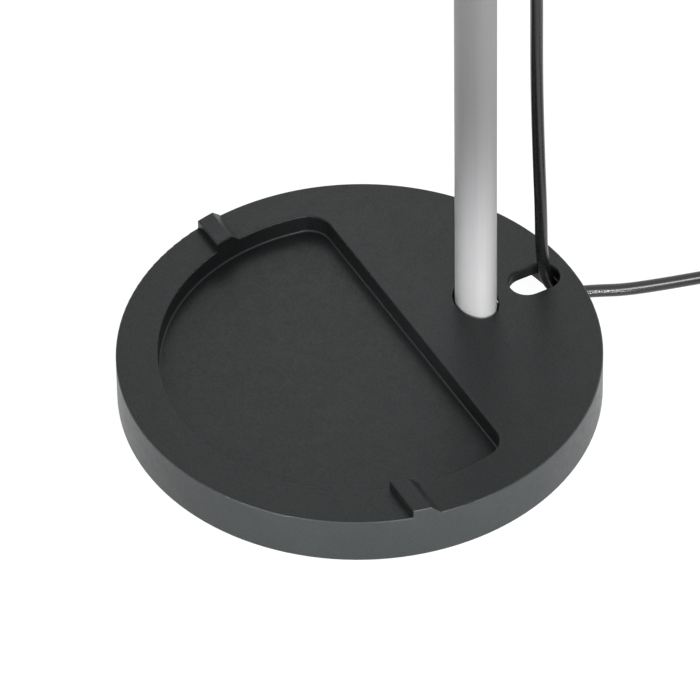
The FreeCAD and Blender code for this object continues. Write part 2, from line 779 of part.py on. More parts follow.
def make_post_head():
    """The housing on the post's top: it clamps the post, holds the lead's inlet and carries the swivel."""
    head = Piece("post_head")
    outline = head.sketch("XY", z=HEAD_FLOOR)
    egg(outline, POST_Y, "PostHeadRadius", LEAD_Y, "PostHeadTail", "PostAcross")
    head.pad(outline, "PostHeadHeight")
    head.rounded("TurretRound", at_height(HEAD_FLOOR))
    hollow = head.sketch("XY", z=HEAD_RIM)
    inner, tail = "(PostHeadRadius - PostHeadWall)", "(PostHeadTail - PostHeadWall)"
    egg(hollow, POST_Y, inner, LEAD_Y, tail, "PostAcross")
    head.cut(hollow, "PostHeadHeight - PostHeadWall")
    floor = f"({HEAD_FLOOR} + PostHeadWall)"
    socket_top = f"({POST_TOP} + PostHeadWeb)"
    socket = head.sketch("XY", "PostAcross", POST_Y, floor)
    oval(socket, "SocketWall")
    head.pad(socket, f"({socket_top}) - ({floor})")
    for x, y in lid_screw_places():
        head.drum("LidScrewBoss / 2", floor, HEAD_RIM, x, y)
        head.bore("SmallScrewShank / 2 + FitGap", f"({HEAD_RIM} - SmallScrewLength)", HEAD_RIM, x, y)
    well = head.sketch("XY", "PostAcross", POST_Y, POST_TOP)
    oval(well, "FitGap")
    head.cut(well, f"({POST_TOP}) - ({HEAD_FLOOR})")
    head.bore("ReliefNeck / 2 + FitGap", HEAD_FLOOR, floor, "PostAcross", LEAD_Y)
    screw_height = f"({HEAD_FLOOR} + SocketDepth / 2)"
    side = head.sketch("YZ", "PostAcross + PostLong / 2 - PostWall", POST_Y, screw_height)
    circle(side, "0", "0", "SetScrewDiameter / 2 + FitGap")
    head.cut(side, "PostHeadRadius", along=True)

    screw = Piece("post_set_screw")
    rod = screw.sketch("YZ", "PostAcross + PostLong / 2 + FitGap", POST_Y, screw_height)
    circle(rod, "0", "0", "SetScrewDiameter / 2")
    screw.pad(rod, "PostHeadRadius - SetScrewSunk - PostLong / 2 - FitGap")
    drive = screw.sketch("YZ", "PostAcross + PostHeadRadius - SetScrewSunk", POST_Y, screw_height)
    hexagon(drive, "0", "0", "SetScrewDiameter / 2")
    screw.cut(drive, "SetScrewDrive")

    lid = Piece("post_head_lid")
    cover = lid.sketch("XY", z=HEAD_RIM)
    egg(cover, POST_Y, "PostHeadRadius", LEAD_Y, "PostHeadTail", "PostAcross")
    lid.pad(cover, "LidThickness")
    lid.bore("SpindleDiameter / 2 + FitGap", HEAD_RIM, LID_TOP, "PostAcross", POST_Y)
    for x, y in lid_screw_places():
        lid.sunk(countersunk("SmallScrew", "LidThickness", -1, "FitGap"), x, y, LID_TOP)
    screws = Piece("lid_screws")
    for x, y in lid_screw_places():
        screws.turned(countersunk("SmallScrew", "SmallScrewLength", -1), x, y, LID_TOP)

    relief = Piece("strain_relief")
    neck, collar = "ReliefNeck / 2", "ReliefCollar / 2"
    flange, tip = "ReliefFlange / 2", "ReliefTip / 2"
    tip_height = "-ReliefLength"
    profile = [("0", "PostHeadWall + 2"), (collar, "PostHeadWall + 2"), (collar, "PostHeadWall")]
    profile += [(neck, "PostHeadWall"), (neck, "0"), (flange, "0"), (flange, "-ReliefFlangeHeight")]
    profile += [("ReliefTop / 2", "-ReliefFlangeHeight"), (tip, tip_height), ("0", tip_height)]
    relief.turned(profile, "PostAcross", LEAD_Y, HEAD_FLOOR)

    behind = f"({POST_Y} + PostShort / 2 + SocketWall + 1)"
    half = "TerminalLength / 2"
    block(
        "terminal_block",
        (f"PostAcross - {half}", behind, floor),
        (f"PostAcross + {half}", f"{behind} + TerminalDepth", f"{floor} + TerminalHeight"),
    )


def make_swivel():
    """The hollow spindle, its washers and its nut: they stay with the post while the turret turns."""
    place = ("PostAcross", POST_Y)
    spindle = Piece("swivel_spindle")
    nut_top = f"({TURRET_DECK} + SwivelWasherThickness + SwivelNutHeight)"
    tube, wide = "SpindleDiameter / 2", "SpindleFlange / 2"
    top = f"{nut_top} + SpindleProud - {HEAD_RIM}"
    profile = [("0", "-SpindleFlangeHeight"), (wide, "-SpindleFlangeHeight"), (wide, "0"), (tube, "0")]
    profile += [(tube, top), ("0", top)]
    spindle.turned(profile, *place, HEAD_RIM)
    bore_start, bore_end = f"({HEAD_RIM} - SpindleFlangeHeight)", f"({nut_top} + SpindleProud)"
    spindle.bore("SpindleBore / 2", bore_start, bore_end, *place)
    hole = "SpindleDiameter / 2 + FitGap"
    ring("swivel_lower_washer", hole, "SwivelWasherDiameter / 2", LID_TOP, TURRET_FOOT, *place)
    washer_top = f"({TURRET_DECK} + SwivelWasherThickness)"
    ring("swivel_upper_washer", hole, "NutWasherDiameter / 2", TURRET_DECK, washer_top, *place)
    nut = Piece("swivel_nut")
    flats = nut.sketch("XY", *place, washer_top)
    hexagon(flats, "0", "0", "SwivelNutAcross")
    circle(flats, "0", "0", hole)
    nut.pad(flats, "SwivelNutHeight")


# ---------------------------------------------------------------- hinges


def cut_across(piece, radius, start, end, y, z):
    """Cuts a round hole along X between two distances from the hinges' middle."""
    sketch = piece.sketch("YZ", f"PostAcross + {start}", y, z)
    circle(sketch, "0", "0", radius)
    piece.cut(sketch, f"({end}) - ({start})", along=True)


def hinge_hardware(name, y, outer):
    """The bolt, nut, washers and caps of one hinge whose ears end `outer` from the middle."""
    cap_face = f"({outer} - 0.2)"
    cap_seat = f"({cap_face} - HingeCapThickness)"
    head_seat = f"({cap_seat} - HingeBoltHeadHeight)"
    bolt = Piece(f"{name}_bolt")
    shank, head = "HingeBolt / 2", "HingeBoltHead / 2"
    tip = f"-{cap_seat}"
    profile = [(tip, "0"), (tip, shank), (head_seat, shank)]
    profile += [(head_seat, head), (cap_seat, head), (cap_seat, "0")]
    bolt.turned_across(profile, "PostAcross", y, HINGE)
    nut = Piece(f"{name}_nut")
    nut_sketch = nut.sketch("YZ", f"PostAcross - {head_seat} - HingeNutHeight", y, HINGE)
    hexagon(nut_sketch, "0", "0", "HingeNutAcross")
    circle(nut_sketch, "0", "0", "HingeBolt / 2 + FitGap")
    nut.pad(nut_sketch, "HingeNutHeight")
    washers = Piece(f"{name}_washers")
    caps = Piece(f"{name}_caps")
    for side in (-1, 1):
        start = "KnuckleWidth / 2" if side > 0 else f"-{HINGE_GAP}"
        washer = washers.sketch("YZ", f"PostAcross + {start}", y, HINGE)
        circle(washer, "0", "0", "HingeWasherDiameter / 2")
        circle(washer, "0", "0", "HingeBolt / 2 + RunGap")
        washers.pad(washer, "HingeWasherThickness")
        start = cap_seat if side > 0 else f"-{cap_face}"
        cap = caps.sketch("YZ", f"PostAcross + {start}", y, HINGE)
        circle(cap, "0", "0", "HingeBoltHead / 2 + HoleGap")
        caps.pad(cap, "HingeCapThickness")


def drill_ears(piece, y, outer):
    """Cuts the bolt's hole and the two recesses for its head, nut and caps."""
    head_seat = f"({outer} - 0.2 - HingeCapThickness - HingeBoltHeadHeight)"
    cut_across(piece, "HingeBolt / 2 + FitGap", f"-{outer} - {OVER}", f"{outer} + {OVER}", y, HINGE)
    recess = "HingeBoltHead / 2 + HoleGap + FitGap"
    cut_across(piece, recess, head_seat, f"{outer} + {OVER}", y, HINGE)
    cut_across(piece, recess, f"-{outer} - {OVER}", f"-{head_seat}", y, HINGE)


def make_turret():
    """A round block, slotted for the arm's knuckle."""
    turret = Piece("turret")
    top = f"({TURRET_FOOT} + TurretHeight)"
    turret.drum("TurretRadius", TURRET_FOOT, top, "PostAcross", POST_Y)
    turret.rounded("TurretRound", at_height(top))
    slot = turret.sketch("XZ", "PostAcross", f"{POST_Y} + TurretRadius + {OVER}")
    rectangle(slot, f"-{HINGE_GAP}", TURRET_DECK, HINGE_GAP, f"{top} + {OVER}")
    turret.cut(slot, f"2 * TurretRadius + 2 * {OVER}", along=True)
    turret.bore("SpindleDiameter / 2 + RunGap", TURRET_FOOT, TURRET_DECK, "PostAcross", POST_Y)
    ear_end = "(TurretRadius - 1)"
    drill_ears(turret, POST_Y, ear_end)
    hinge_hardware("arm_hinge", POST_Y, ear_end)


def make_knuckle(label, hinge_y, way):
    """A hinge barrel, a neck and the spigot that goes into the arm, which lies in front when way is -1."""
    knuckle = Piece(label)
    barrel = knuckle.sketch("YZ", "PostAcross - KnuckleWidth / 2", hinge_y, HINGE)
    circle(barrel, "0", "0", "KnuckleRadius")
    knuckle.pad(barrel, "KnuckleWidth")
    plane = {"x": "PostAcross", "z": HINGE}
    neck_end = f"({hinge_y} + {way} * HingeNeck)"
    spigot_end = f"({neck_end} + {way} * SpigotLength)"
    neck = knuckle.sketch("XZ", y=f"{hinge_y} + {way} * KnuckleRadius / 2", **plane)
    circle(neck, "0", "0", "NeckDiameter / 2")
    knuckle.pad(neck, "HingeNeck - KnuckleRadius / 2 - 3", Reversed=way > 0)
    shoulder = knuckle.sketch("XZ", y=f"{neck_end} - {way} * 3", **plane)
    circle(shoulder, "0", "0", "ArmDiameter / 2")
    knuckle.pad(shoulder, "3", Reversed=way > 0)
    spigot = knuckle.sketch("XZ", y=neck_end, **plane)
    circle(spigot, "0", "0", "ArmDiameter / 2 - ArmWall - FitGap")
    knuckle.pad(spigot, "SpigotLength", Reversed=way > 0)
    cut_across(knuckle, "HingeBolt / 2 + RunGap", "-KnuckleWidth / 2", "KnuckleWidth / 2", hinge_y, HINGE)
    outlet = f"({hinge_y} + {way} * (HingeNeck - 4.5))"
    wire = knuckle.sketch("XZ", y=spigot_end, **plane)
    circle(wire, "0", "0", "WireBore / 2")
    knuckle.cut(wire, "SpigotLength + 4.5", along=way > 0)
    knuckle.bore("WireBore / 2", f"({HINGE} - ArmDiameter / 2 - 1)", HINGE, "PostAcross", outlet)
    pin_y = f"({neck_end} + {way} * SpigotLength / 2)"
    under = f"({HINGE} - ArmDiameter / 2)"
    knuckle.bore("PinDiameter / 2 + FitGap", under, f"({HINGE} - WireBore / 2 + 0.4)", "PostAcross", pin_y)
    return pin_y


def make_arm():
    """The tube with a knuckle at each end, the pins that hold them and the wire inside."""
    rear_pin = make_knuckle("arm_knuckle", POST_Y, -1)
    front_pin = make_knuckle("arm_front_knuckle", FRONT_HINGE, 1)
    start = f"({POST_Y} - HingeNeck)"
    tube = Piece("arm_tube")
    section = tube.sketch("XZ", "PostAcross", start, HINGE)
    circle(section, "0", "0", "ArmDiameter / 2")
    circle(section, "0", "0", "ArmDiameter / 2 - ArmWall")
    tube.pad(section, "ArmLength")
    pins = Piece("arm_pins")
    under = f"({HINGE} - ArmDiameter / 2)"
    for y in (rear_pin, front_pin):
        tube.bore("PinDiameter / 2 + FitGap", f"({under} - 1)", f"({under} + ArmWall + 1)", "PostAcross", y)
        pins.drum("PinDiameter / 2", under, f"({HINGE} - WireBore / 2 + 0.2)", "PostAcross", y)
    wire = Piece("arm_wire")
    run = wire.sketch("XZ", "PostAcross", f"{start} + 4.5", HINGE)
    circle(run, "0", "0", "WireDiameter / 2")
    wire.pad(run, "ArmLength + 9")


# ---------------------------------------------------------------- head


def frame_screw_places():
    """Where the six screws of the diffuser's frame stand."""
    half_way = f"({LAMP_BACK} + {LAMP_FRONT}) / 2"
    ends = (f"{LAMP_BACK} - FrameScrewInset", half_way, f"{LAMP_FRONT} + FrameScrewInset")
    return [(f"PostAcross + {side} * FrameScrewSide", y) for side in (-1, 1) for y in ends]


def sink_screw_places():
    """Where the four screws of the heat sink stand."""
    ends = (f"{SINK_BACK} - SinkScrewInset", f"{SINK_FRONT} + SinkScrewInset")
    return [(f"PostAcross + {side} * SinkScrewSide", y) for side in (-1, 1) for y in ends]


def tongue_screw_places():
    """Where the bracket's two screws stand."""
    return [(f"PostAcross + {side} * TongueScrewSide", f"{LAMP_BACK} - TongueScrewBack") for side in (-1, 1)]


def lead_way(piece, y, depth):
    """Cuts the hole that the wires take from the hinge into the head."""
    way = piece.sketch("XZ", "PostAcross", y, f"{HINGE} - 2")
    circle(way, "0", "0", "WireBore / 2")
    piece.cut(way, depth)


def make_head_cover():
    """The shell over the light: a shallow box, open underneath, with the posts that its parts screw to."""
    cover = Piece("head_cover")
    half, wall = "HeadWidth / 2", "HeadWall"
    outline = cover.sketch("XY", z=LAMP_UNDER)
    panel(outline, f"PostAcross - {half}", LAMP_FRONT, f"PostAcross + {half}", LAMP_BACK, "HeadCorner")
    cover.pad(outline, "HeadThickness")
    cover.rounded("HeadRound", at_height(LAMP_TOP))
    hollow = cover.sketch("XY", z=LAMP_UNDER)
    panel(
        hollow,
        f"PostAcross - {half} + {wall}",
        f"{LAMP_FRONT} + {wall}",
        f"PostAcross + {half} - {wall}",
        f"{LAMP_BACK} - {wall}",
        f"(HeadCorner - {wall})",
    )
    cover.cut(hollow, "HeadThickness - HeadWall", along=True)
    for x, y in frame_screw_places():
        cover.drum("FramePostDiameter / 2", FRAME_TOP, LAMP_CEILING, x, y)
        cover.bore("SmallScrewShank / 2 + FitGap", FRAME_TOP, f"({LAMP_UNDER} + SmallScrewLength)", x, y)
    for x, y in sink_screw_places():
        cover.drum("SinkPostDiameter / 2", SINK_TOP, LAMP_CEILING, x, y)
        cover.bore("SmallScrewShank / 2 + FitGap", SINK_TOP, f"({SINK_UNDER} + SinkScrewLength)", x, y)
    gap = "FitGap"
    opening = cover.sketch("XZ", "PostAcross", f"{LAMP_BACK} - HeadWall - 1")
    tongue_under = f"({LAMP_CEILING} - {gap} - TongueThickness)"
    side = f"(TongueWidth / 2 + {gap})"
    rectangle(opening, f"-{side}", f"{tongue_under} - {gap}", side, LAMP_CEILING)
    cover.cut(opening, "HeadWall + 3")
    lead_way(cover, f"({LAMP_BACK} - HeadWall - 1)", "HeadWall + 3")
    for x, y in tongue_screw_places():
        top = f"({tongue_under} + TongueScrewLength)"
        cover.bore("SmallScrewShank / 2 + FitGap", LAMP_CEILING, top, x, y)
    cover.bore("ButtonDiameter / 2 + ButtonGap", LAMP_CEILING, LAMP_TOP, "PostAcross", BUTTON_Y)
    return tongue_under


def make_bracket(tongue_under):
    """The fork at the arm's front end, with a tongue that goes into the head."""
    bracket = Piece("head_bracket")
    outer = f"({HINGE_GAP} + EarThickness)"
    ears = bracket.sketch("YZ", f"PostAcross - {outer}", FRONT_HINGE, HINGE)
    circle(ears, "0", "0", "EarRadius")
    bracket.pad(ears, f"2 * {outer}")
    block_height = "(HeadThickness / 2 - 1)"
    web = bracket.sketch("YZ", f"PostAcross - {outer}", "0", HINGE)
    rectangle(web, LAMP_BACK, f"-{block_height}", FRONT_HINGE, block_height)
    bracket.pad(web, f"2 * {outer}")
    gap = bracket.sketch("XY", "PostAcross", "0", f"({HINGE} + EarRadius + 1)")
    inner_face = f"({LAMP_BACK} + BracketBlock)"
    rectangle(gap, f"-{HINGE_GAP}", inner_face, HINGE_GAP, f"{FRONT_HINGE} + EarRadius + 1")
    bracket.cut(gap, "2 * EarRadius + 2")
    drill_ears(bracket, FRONT_HINGE, outer)
    tongue = bracket.sketch("XZ", "PostAcross", LAMP_BACK)
    side = "TongueWidth / 2"
    rectangle(tongue, f"-{side}", tongue_under, side, f"{tongue_under} + TongueThickness")
    bracket.pad(tongue, "TongueLength")
    lead_way(bracket, LAMP_BACK, "BracketBlock + 1")
    for x, y in tongue_screw_places():
        tongue_top = f"({tongue_under} + TongueThickness)"
        bracket.bore("SmallScrewShank / 2 + FitGap", tongue_under, tongue_top, x, y)
    hinge_hardware("head_hinge", FRONT_HINGE, outer)
    screws = Piece("bracket_screws")
    for x, y in tongue_screw_places():
        head, shank = "SmallScrewHead / 2", "SmallScrewShank / 2"
        profile = [("0", "-SmallScrewHeadHeight"), (head, "-SmallScrewHeadHeight"), (head, "0"), (shank, "0")]
        profile += [(shank, "TongueScrewLength - FitGap"), ("0", "TongueScrewLength - FitGap")]
        screws.turned(profile, x, y, tongue_under)


def make_light():
    """The heat sink, the light board with its chips, the diffuser and the frame that holds it."""
    sink = Piece("heat_sink")
    half = "SinkWidth / 2"
    plate = sink.sketch("XY", z=SINK_UNDER)
    rectangle(plate, f"PostAcross - {half}", SINK_FRONT, f"PostAcross + {half}", SINK_BACK)
    sink.pad(plate, "SinkThickness")
    screws = Piece("heat_sink_screws")
    for x, y in sink_screw_places():
        sink.bore("SmallScrewShank / 2 + FitGap", SINK_UNDER, SINK_TOP, x, y)
        head, shank = "SmallScrewHead / 2", "SmallScrewShank / 2"
        profile = [("0", "-SmallScrewHeadHeight"), (head, "-SmallScrewHeadHeight"), (head, "0"), (shank, "0")]
        profile += [(shank, "SinkScrewLength - FitGap"), ("0", "SinkScrewLength - FitGap")]
        screws.turned(profile, x, y, SINK_UNDER)

    block(
        "led_board",
        ("PostAcross - BoardWidth / 2", SINK_FRONT, BOARD_UNDER),
        ("PostAcross + BoardWidth / 2", SINK_BACK, SINK_UNDER),
    )
    chips = Piece("led_chips")
    field = chips.sketch("XY", z=f"({BOARD_UNDER} - ChipHeight)")
    columns = int(number("ChipColumns"))
    middle = f"({SINK_FRONT} + {SINK_BACK}) / 2"
    for side in (-1, 1):
        for k in range(columns):
            x = f"(PostAcross + {side} * ChipRowSpread / 2)"
            y = f"({middle} + {k - (columns - 1) / 2} * ChipPitch)"
            edge = "ChipSize / 2"
            rectangle(field, f"{x} - {edge}", f"{y} - {edge}", f"{x} + {edge}", f"{y} + {edge}")
    chips.pad(field, "ChipHeight")

    frame = Piece("diffuser_frame")
    inset = "(HeadWall + FrameGap)"
    outline = frame.sketch("XY", z=LAMP_UNDER)
    panel(
        outline,
        f"PostAcross - HeadWidth / 2 + {inset}",
        f"{LAMP_FRONT} + {inset}",
        f"PostAcross + HeadWidth / 2 - {inset}",
        f"{LAMP_BACK} - {inset}",
        f"(HeadCorner - {inset})",
    )
    frame.pad(outline, "FrameThickness")
    rebate = "(DiffuserWidth - WindowWidth) / 2"
    window_front = f"({SINK_FRONT} + {rebate})"
    window_back = f"({SINK_BACK} - {rebate})"
    window = frame.sketch("XY", z=f"({FRAME_TOP} + 1)")
    panel(
        window,
        "PostAcross - WindowWidth / 2",
        window_front,
        "PostAcross + WindowWidth / 2",
        window_back,
        "4",
    )
    frame.cut(window, "FrameThickness + 2")
    seat = frame.sketch("XY", z=FRAME_TOP)
    gap = "FrameGap"
    rectangle(
        seat,
        f"PostAcross - DiffuserWidth / 2 - {gap}",
        f"{SINK_FRONT} - {gap}",
        f"PostAcross + DiffuserWidth / 2 + {gap}",
        f"{SINK_BACK} + {gap}",
    )
    frame.cut(seat, "DiffuserThickness")
    frame_screws = Piece("frame_screws")
    for x, y in frame_screw_places():
        frame.sunk(countersunk("SmallScrew", "FrameThickness", ease="FitGap"), x, y, LAMP_UNDER)
        frame_screws.turned(countersunk("SmallScrew", "SmallScrewLength"), x, y, LAMP_UNDER)
    block(
        "diffuser",
        ("PostAcross - DiffuserWidth / 2", SINK_FRONT, f"({FRAME_TOP} - DiffuserThickness)"),
        ("PostAcross + DiffuserWidth / 2", SINK_BACK, FRAME_TOP),
    )


def make_driver():
    """The driver board on the frame's solid rear, with its parts, the switch and the button over it."""
    back = f"({LAMP_BACK} - HeadWall - DriverInset)"
    front = f"({back} - DriverLength)"
    half = "DriverWidth / 2"
    left, right = f"PostAcross - {half}", f"PostAcross + {half}"
    block("driver_board", (left, front, FRAME_TOP), (right, back, DRIVER_TOP))
    parts = Piece("driver_parts")
    transformer = parts.sketch("XY", z=DRIVER_TOP)
    rectangle(transformer, "PostAcross + 12", f"{front} + 4", f"PostAcross + {half} - 2", f"{front} + 20")
    parts.pad(transformer, "5")
    for k in range(3):
        parts.drum("3", DRIVER_TOP, f"({DRIVER_TOP} + 5)", "PostAcross - 17", f"({front} + 8 + {k} * 8)")
    switch = Piece("tact_switch")
    body = switch.sketch("XY", "PostAcross", BUTTON_Y, DRIVER_TOP)
    side = "SwitchSize / 2"
    rectangle(body, f"-{side}", f"-{side}", side, side)
    switch.pad(body, "SwitchHeight")
    top = f"({DRIVER_TOP} + SwitchHeight)"
    switch.drum("PlungerDiameter / 2", top, f"({top} + PlungerHeight)", "PostAcross", BUTTON_Y)
    button = Piece("power_button")
    flange_top = f"({LAMP_CEILING} - ButtonGap)"
    flange_under = f"({flange_top} - ButtonFlangeHeight)"
    wide, narrow = "ButtonFlange / 2", "ButtonDiameter / 2"
    crown = f"({LAMP_TOP} + ButtonProud)"
    stem, stem_end = "ButtonStem / 2", f"({top} + PlungerHeight + ButtonTravel + 0.1)"
    profile = [("0", stem_end), (stem, stem_end), (stem, flange_under)]
    profile += [(wide, flange_under), (wide, flange_top), (narrow, flange_top)]
    profile += [(narrow, f"{crown} - 0.6"), (f"{narrow} - 0.6", crown), ("0", crown)]
    button.turned(profile, "PostAcross", BUTTON_Y)


# ---------------------------------------------------------------- mains lead


def lead_route():
    """The lead's points from its inlet to the coil."""
    post = number("PostAcross")
    inlet = number(f"{HEAD_FLOOR} - ReliefLength")
    behind = number(LEAD_Y)
    table = number("LeadDiameter / 2")
    hanging = [(post, behind, inlet), (post, 92.1, 316)]
    hanging += [(-2.2, 93.4, 264), (-2.0, 94.5, 205), (-2.0, 94.6, 152)]
    lower = [(-2.0, 95.9, 104), (-2.2, 97.5, 66), (-2.7, 98.1, 40), (-3.5, 98.8, 20.6), (-4.3, 105.0, 9.4)]
    outside = [(-4.0, 116.1, table), (0.4, 126.4, table), (5.9, 137.2, table), (10.6, 151.6, table)]
    beyond = [(16.0, 171.0, table), (22.0, 193.0, table), coil_spot("CoilEntry", "CoilTurnsBelow", table)]
    return [Vector(*p) for p in hanging + lower + outside + beyond]


def coil_spot(angle, turns, height):
    """A point on the outermost of a layer's turns, at an angle of the sheet's."""
    radius = number(f"CoilInnerTurn + LeadDiameter * ({turns} - 1)")
    turn = math.radians(number(angle))
    x = number("CoilAcross") + radius * math.cos(turn)
    y = number("CoilBeyond") + radius * math.sin(turn)
    return (x, y, height)


def tail_route():
    """The lead's points from the coil's upper layer to the plug."""
    top = number("LeadDiameter * 1.5")
    start = Vector(*coil_spot("CoilExit", "CoilTurnsAbove", 0.0))
    turn = math.radians(number("CoilExit"))
    away = Vector(math.sin(turn), -math.cos(turn), 0)
    side = Vector(math.cos(turn), math.sin(turn), 0)
    plug = number("PlugThickness / 2")
    steps = [(0, 0, top), (13, 0.5, top + 0.1), (27, 0.3, top - 0.3)]
    steps += [(41, -0.6, plug + 0.5), (54, -1.9, plug)]
    return [start + away * d + side * s + Vector(0, 0, h) for d, s, h in steps]


def tube(label, points):
    """A round tube along straight runs joined by tangent arcs, each as large as its runs allow."""
    edges, here, radii = [], points[0], []
    for before, corner, after in zip(points, points[1:], points[2:]):
        back, on = before - corner, after - corner
        turn = math.pi - back.getAngle(on)
        reach = 0.45 * min(back.Length, on.Length)
        radii.append(reach / math.tan(turn / 2))
        entry = corner + Vector(back).normalize() * reach
        leave = corner + Vector(on).normalize() * reach
        sagitta = radii[-1] * (1 / math.cos(turn / 2) - 1)
        inward = (Vector(back).normalize() + Vector(on).normalize()).normalize()
        edges.append(Part.LineSegment(here, entry).toShape())
        edges.append(Part.Arc(entry, corner + inward * sagitta, leave).toShape())
        here = leave
    edges.append(Part.LineSegment(here, points[-1]).toShape())
    path = Part.Wire(edges)
    radius = number("LeadDiameter / 2")
    start = Part.Wire([Part.makeCircle(radius, points[0], points[1] - points[0])])
    solid = path.makePipeShell([start], True, False)
    piece = DOC.addObject("Part::Feature", label)
    piece.Label = label
    piece.Shape = solid
    piece.Placement = FreeCAD.Placement()
    PIECES.append(piece)
    expected = math.pi * radius**2 * path.Length
    print(f"{label}: {path.Length:.1f} mm, volume {solid.Volume / expected:.4f} of section times length,")
    print("   radii " + " ".join(f"{r:.0f}" for r in radii))
    if abs(solid.Volume / expected - 1) > 0.01:
        raise RuntimeError(f"{label} is not a whole tube")
    return path.Length


def make_lead():
    """The free lead: its tube to the coil, the coil's outer shape, the tail and the plug."""
    length = tube("cord_lead", lead_route())
    length += tube("cord_tail", tail_route())
    coil = Piece("cord_coil")
    inside = "(CoilInnerTurn - LeadDiameter / 2)"
    below = f"({inside} + CoilTurnsBelow * LeadDiameter)"
    above = f"({inside} + CoilTurnsAbove * LeadDiameter)"
    profile = [(inside, "0"), (below, "0"), (below, "LeadDiameter"), (above, "2 * LeadDiameter")]
    coil.turned(profile + [(inside, "2 * LeadDiameter")], "CoilAcross", "CoilBeyond")
    print(f"lead without its coil: {length:.1f} mm")
    before, end = tail_route()[-2:]
    make_plug(end, math.degrees(math.atan2(end.y - before.y, end.x - before.x)))


def make_plug(rear, heading):
    """A flat two-pin plug, its back at the tail's end and its pins pointing along the heading, in degrees."""
    turn = FreeCAD.Placement(rear, FreeCAD.Rotation(Vector(0, 0, 1), heading))
    plug = Piece("plug_body")
    half, back, thick = "PlugWidth / 2", "PlugBack / 2", "PlugThickness"
    sleeve, end = "PlugSleeve", "(PlugSleeve + PlugLengthways)"
    outline = plug.sketch("XY", z=f"-{thick} / 2")
    corners = [(sleeve, f"-{back}"), (f"{sleeve} + {back}", f"-{half}"), (end, f"-{half}")]
    corners += [(end, half), (f"{sleeve} + {back}", half), (sleeve, back)]
    polygon(outline, corners)
    plug.pad(outline, thick)
    plug.rounded("2.4", lambda edge: edge.BoundBox.ZLength < 0.01)
    neck = plug.sketch("YZ", "0")
    circle(neck, "0", "0", "LeadDiameter / 2 + 1.6")
    plug.pad(neck, f"{sleeve} + 1")
    plug.body.Placement = turn
    pins = Piece("plug_pins")
    for side in (-1, 1):
        rod = pins.sketch("YZ", end)
        circle(rod, f"{side} * PinSpacing / 2", "0", "PlugPinDiameter / 2")
        pins.pad(rod, "PinLength")
    ends = number(f"{end} + PinLength")
    pins.rounded("PlugPinDiameter * 0.35", lambda edge: abs(edge.BoundBox.XMin - ends) < 1e-4)
    pins.body.Placement = turn


# ---------------------------------------------------------------- writing


def check_document():
    """Stops when any object failed or any piece has no sound shape."""
    bad = [o.Name for o in DOC.Objects if "Invalid" in o.State or "Error" in o.State]
    bad += [p.Label for p in PIECES if p.Shape.isNull() or not p.Shape.isValid() or not p.Shape.Solids]
    if bad:
        raise RuntimeError("failed: " + ", ".join(bad))


def write_pieces():
    """Writes each piece to a STEP file named after it."""
    os.makedirs("parts", exist_ok=True)
    for piece in PIECES:
        piece.Shape.exportStep(f"parts/{piece.Label}.step")


def main():
    fill_sheet()
    make_base_shell()
    make_ballast()
    make_post()
    make_post_head()
    make_swivel()
    make_turret()
    make_arm()
    make_bracket(make_head_cover())
    make_light()
    make_driver()
    make_lead()
    DOC.recompute()
    check_document()
    write_pieces()


main()
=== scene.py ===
"""A desk lamp with a pen and clip tray in its weighted foot: finishes, small parts, mains lead and studio."""

import logging
import math
from dataclasses import dataclass
from enum import Enum

import bmesh
import bpy
from mathutils import Matrix, Vector


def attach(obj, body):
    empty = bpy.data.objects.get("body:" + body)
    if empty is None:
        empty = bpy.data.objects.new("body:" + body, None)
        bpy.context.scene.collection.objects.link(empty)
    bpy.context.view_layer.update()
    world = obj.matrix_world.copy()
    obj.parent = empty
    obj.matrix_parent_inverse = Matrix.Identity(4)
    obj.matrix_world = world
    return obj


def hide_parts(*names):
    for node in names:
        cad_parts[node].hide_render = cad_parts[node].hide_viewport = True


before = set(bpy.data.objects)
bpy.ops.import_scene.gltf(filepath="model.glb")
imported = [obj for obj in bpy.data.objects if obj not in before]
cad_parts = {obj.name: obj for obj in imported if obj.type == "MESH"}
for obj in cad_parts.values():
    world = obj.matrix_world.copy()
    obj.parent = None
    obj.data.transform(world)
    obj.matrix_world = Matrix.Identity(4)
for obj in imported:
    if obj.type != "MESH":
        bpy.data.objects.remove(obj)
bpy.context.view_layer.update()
LOG = logging.getLogger("desk_lamp")
MM = 0.001
Tone = tuple[float, float, float]
Place = tuple[float, float, float]
Points = tuple[tuple[float, float], ...]


# ---------------------------------------------------------------- finishes


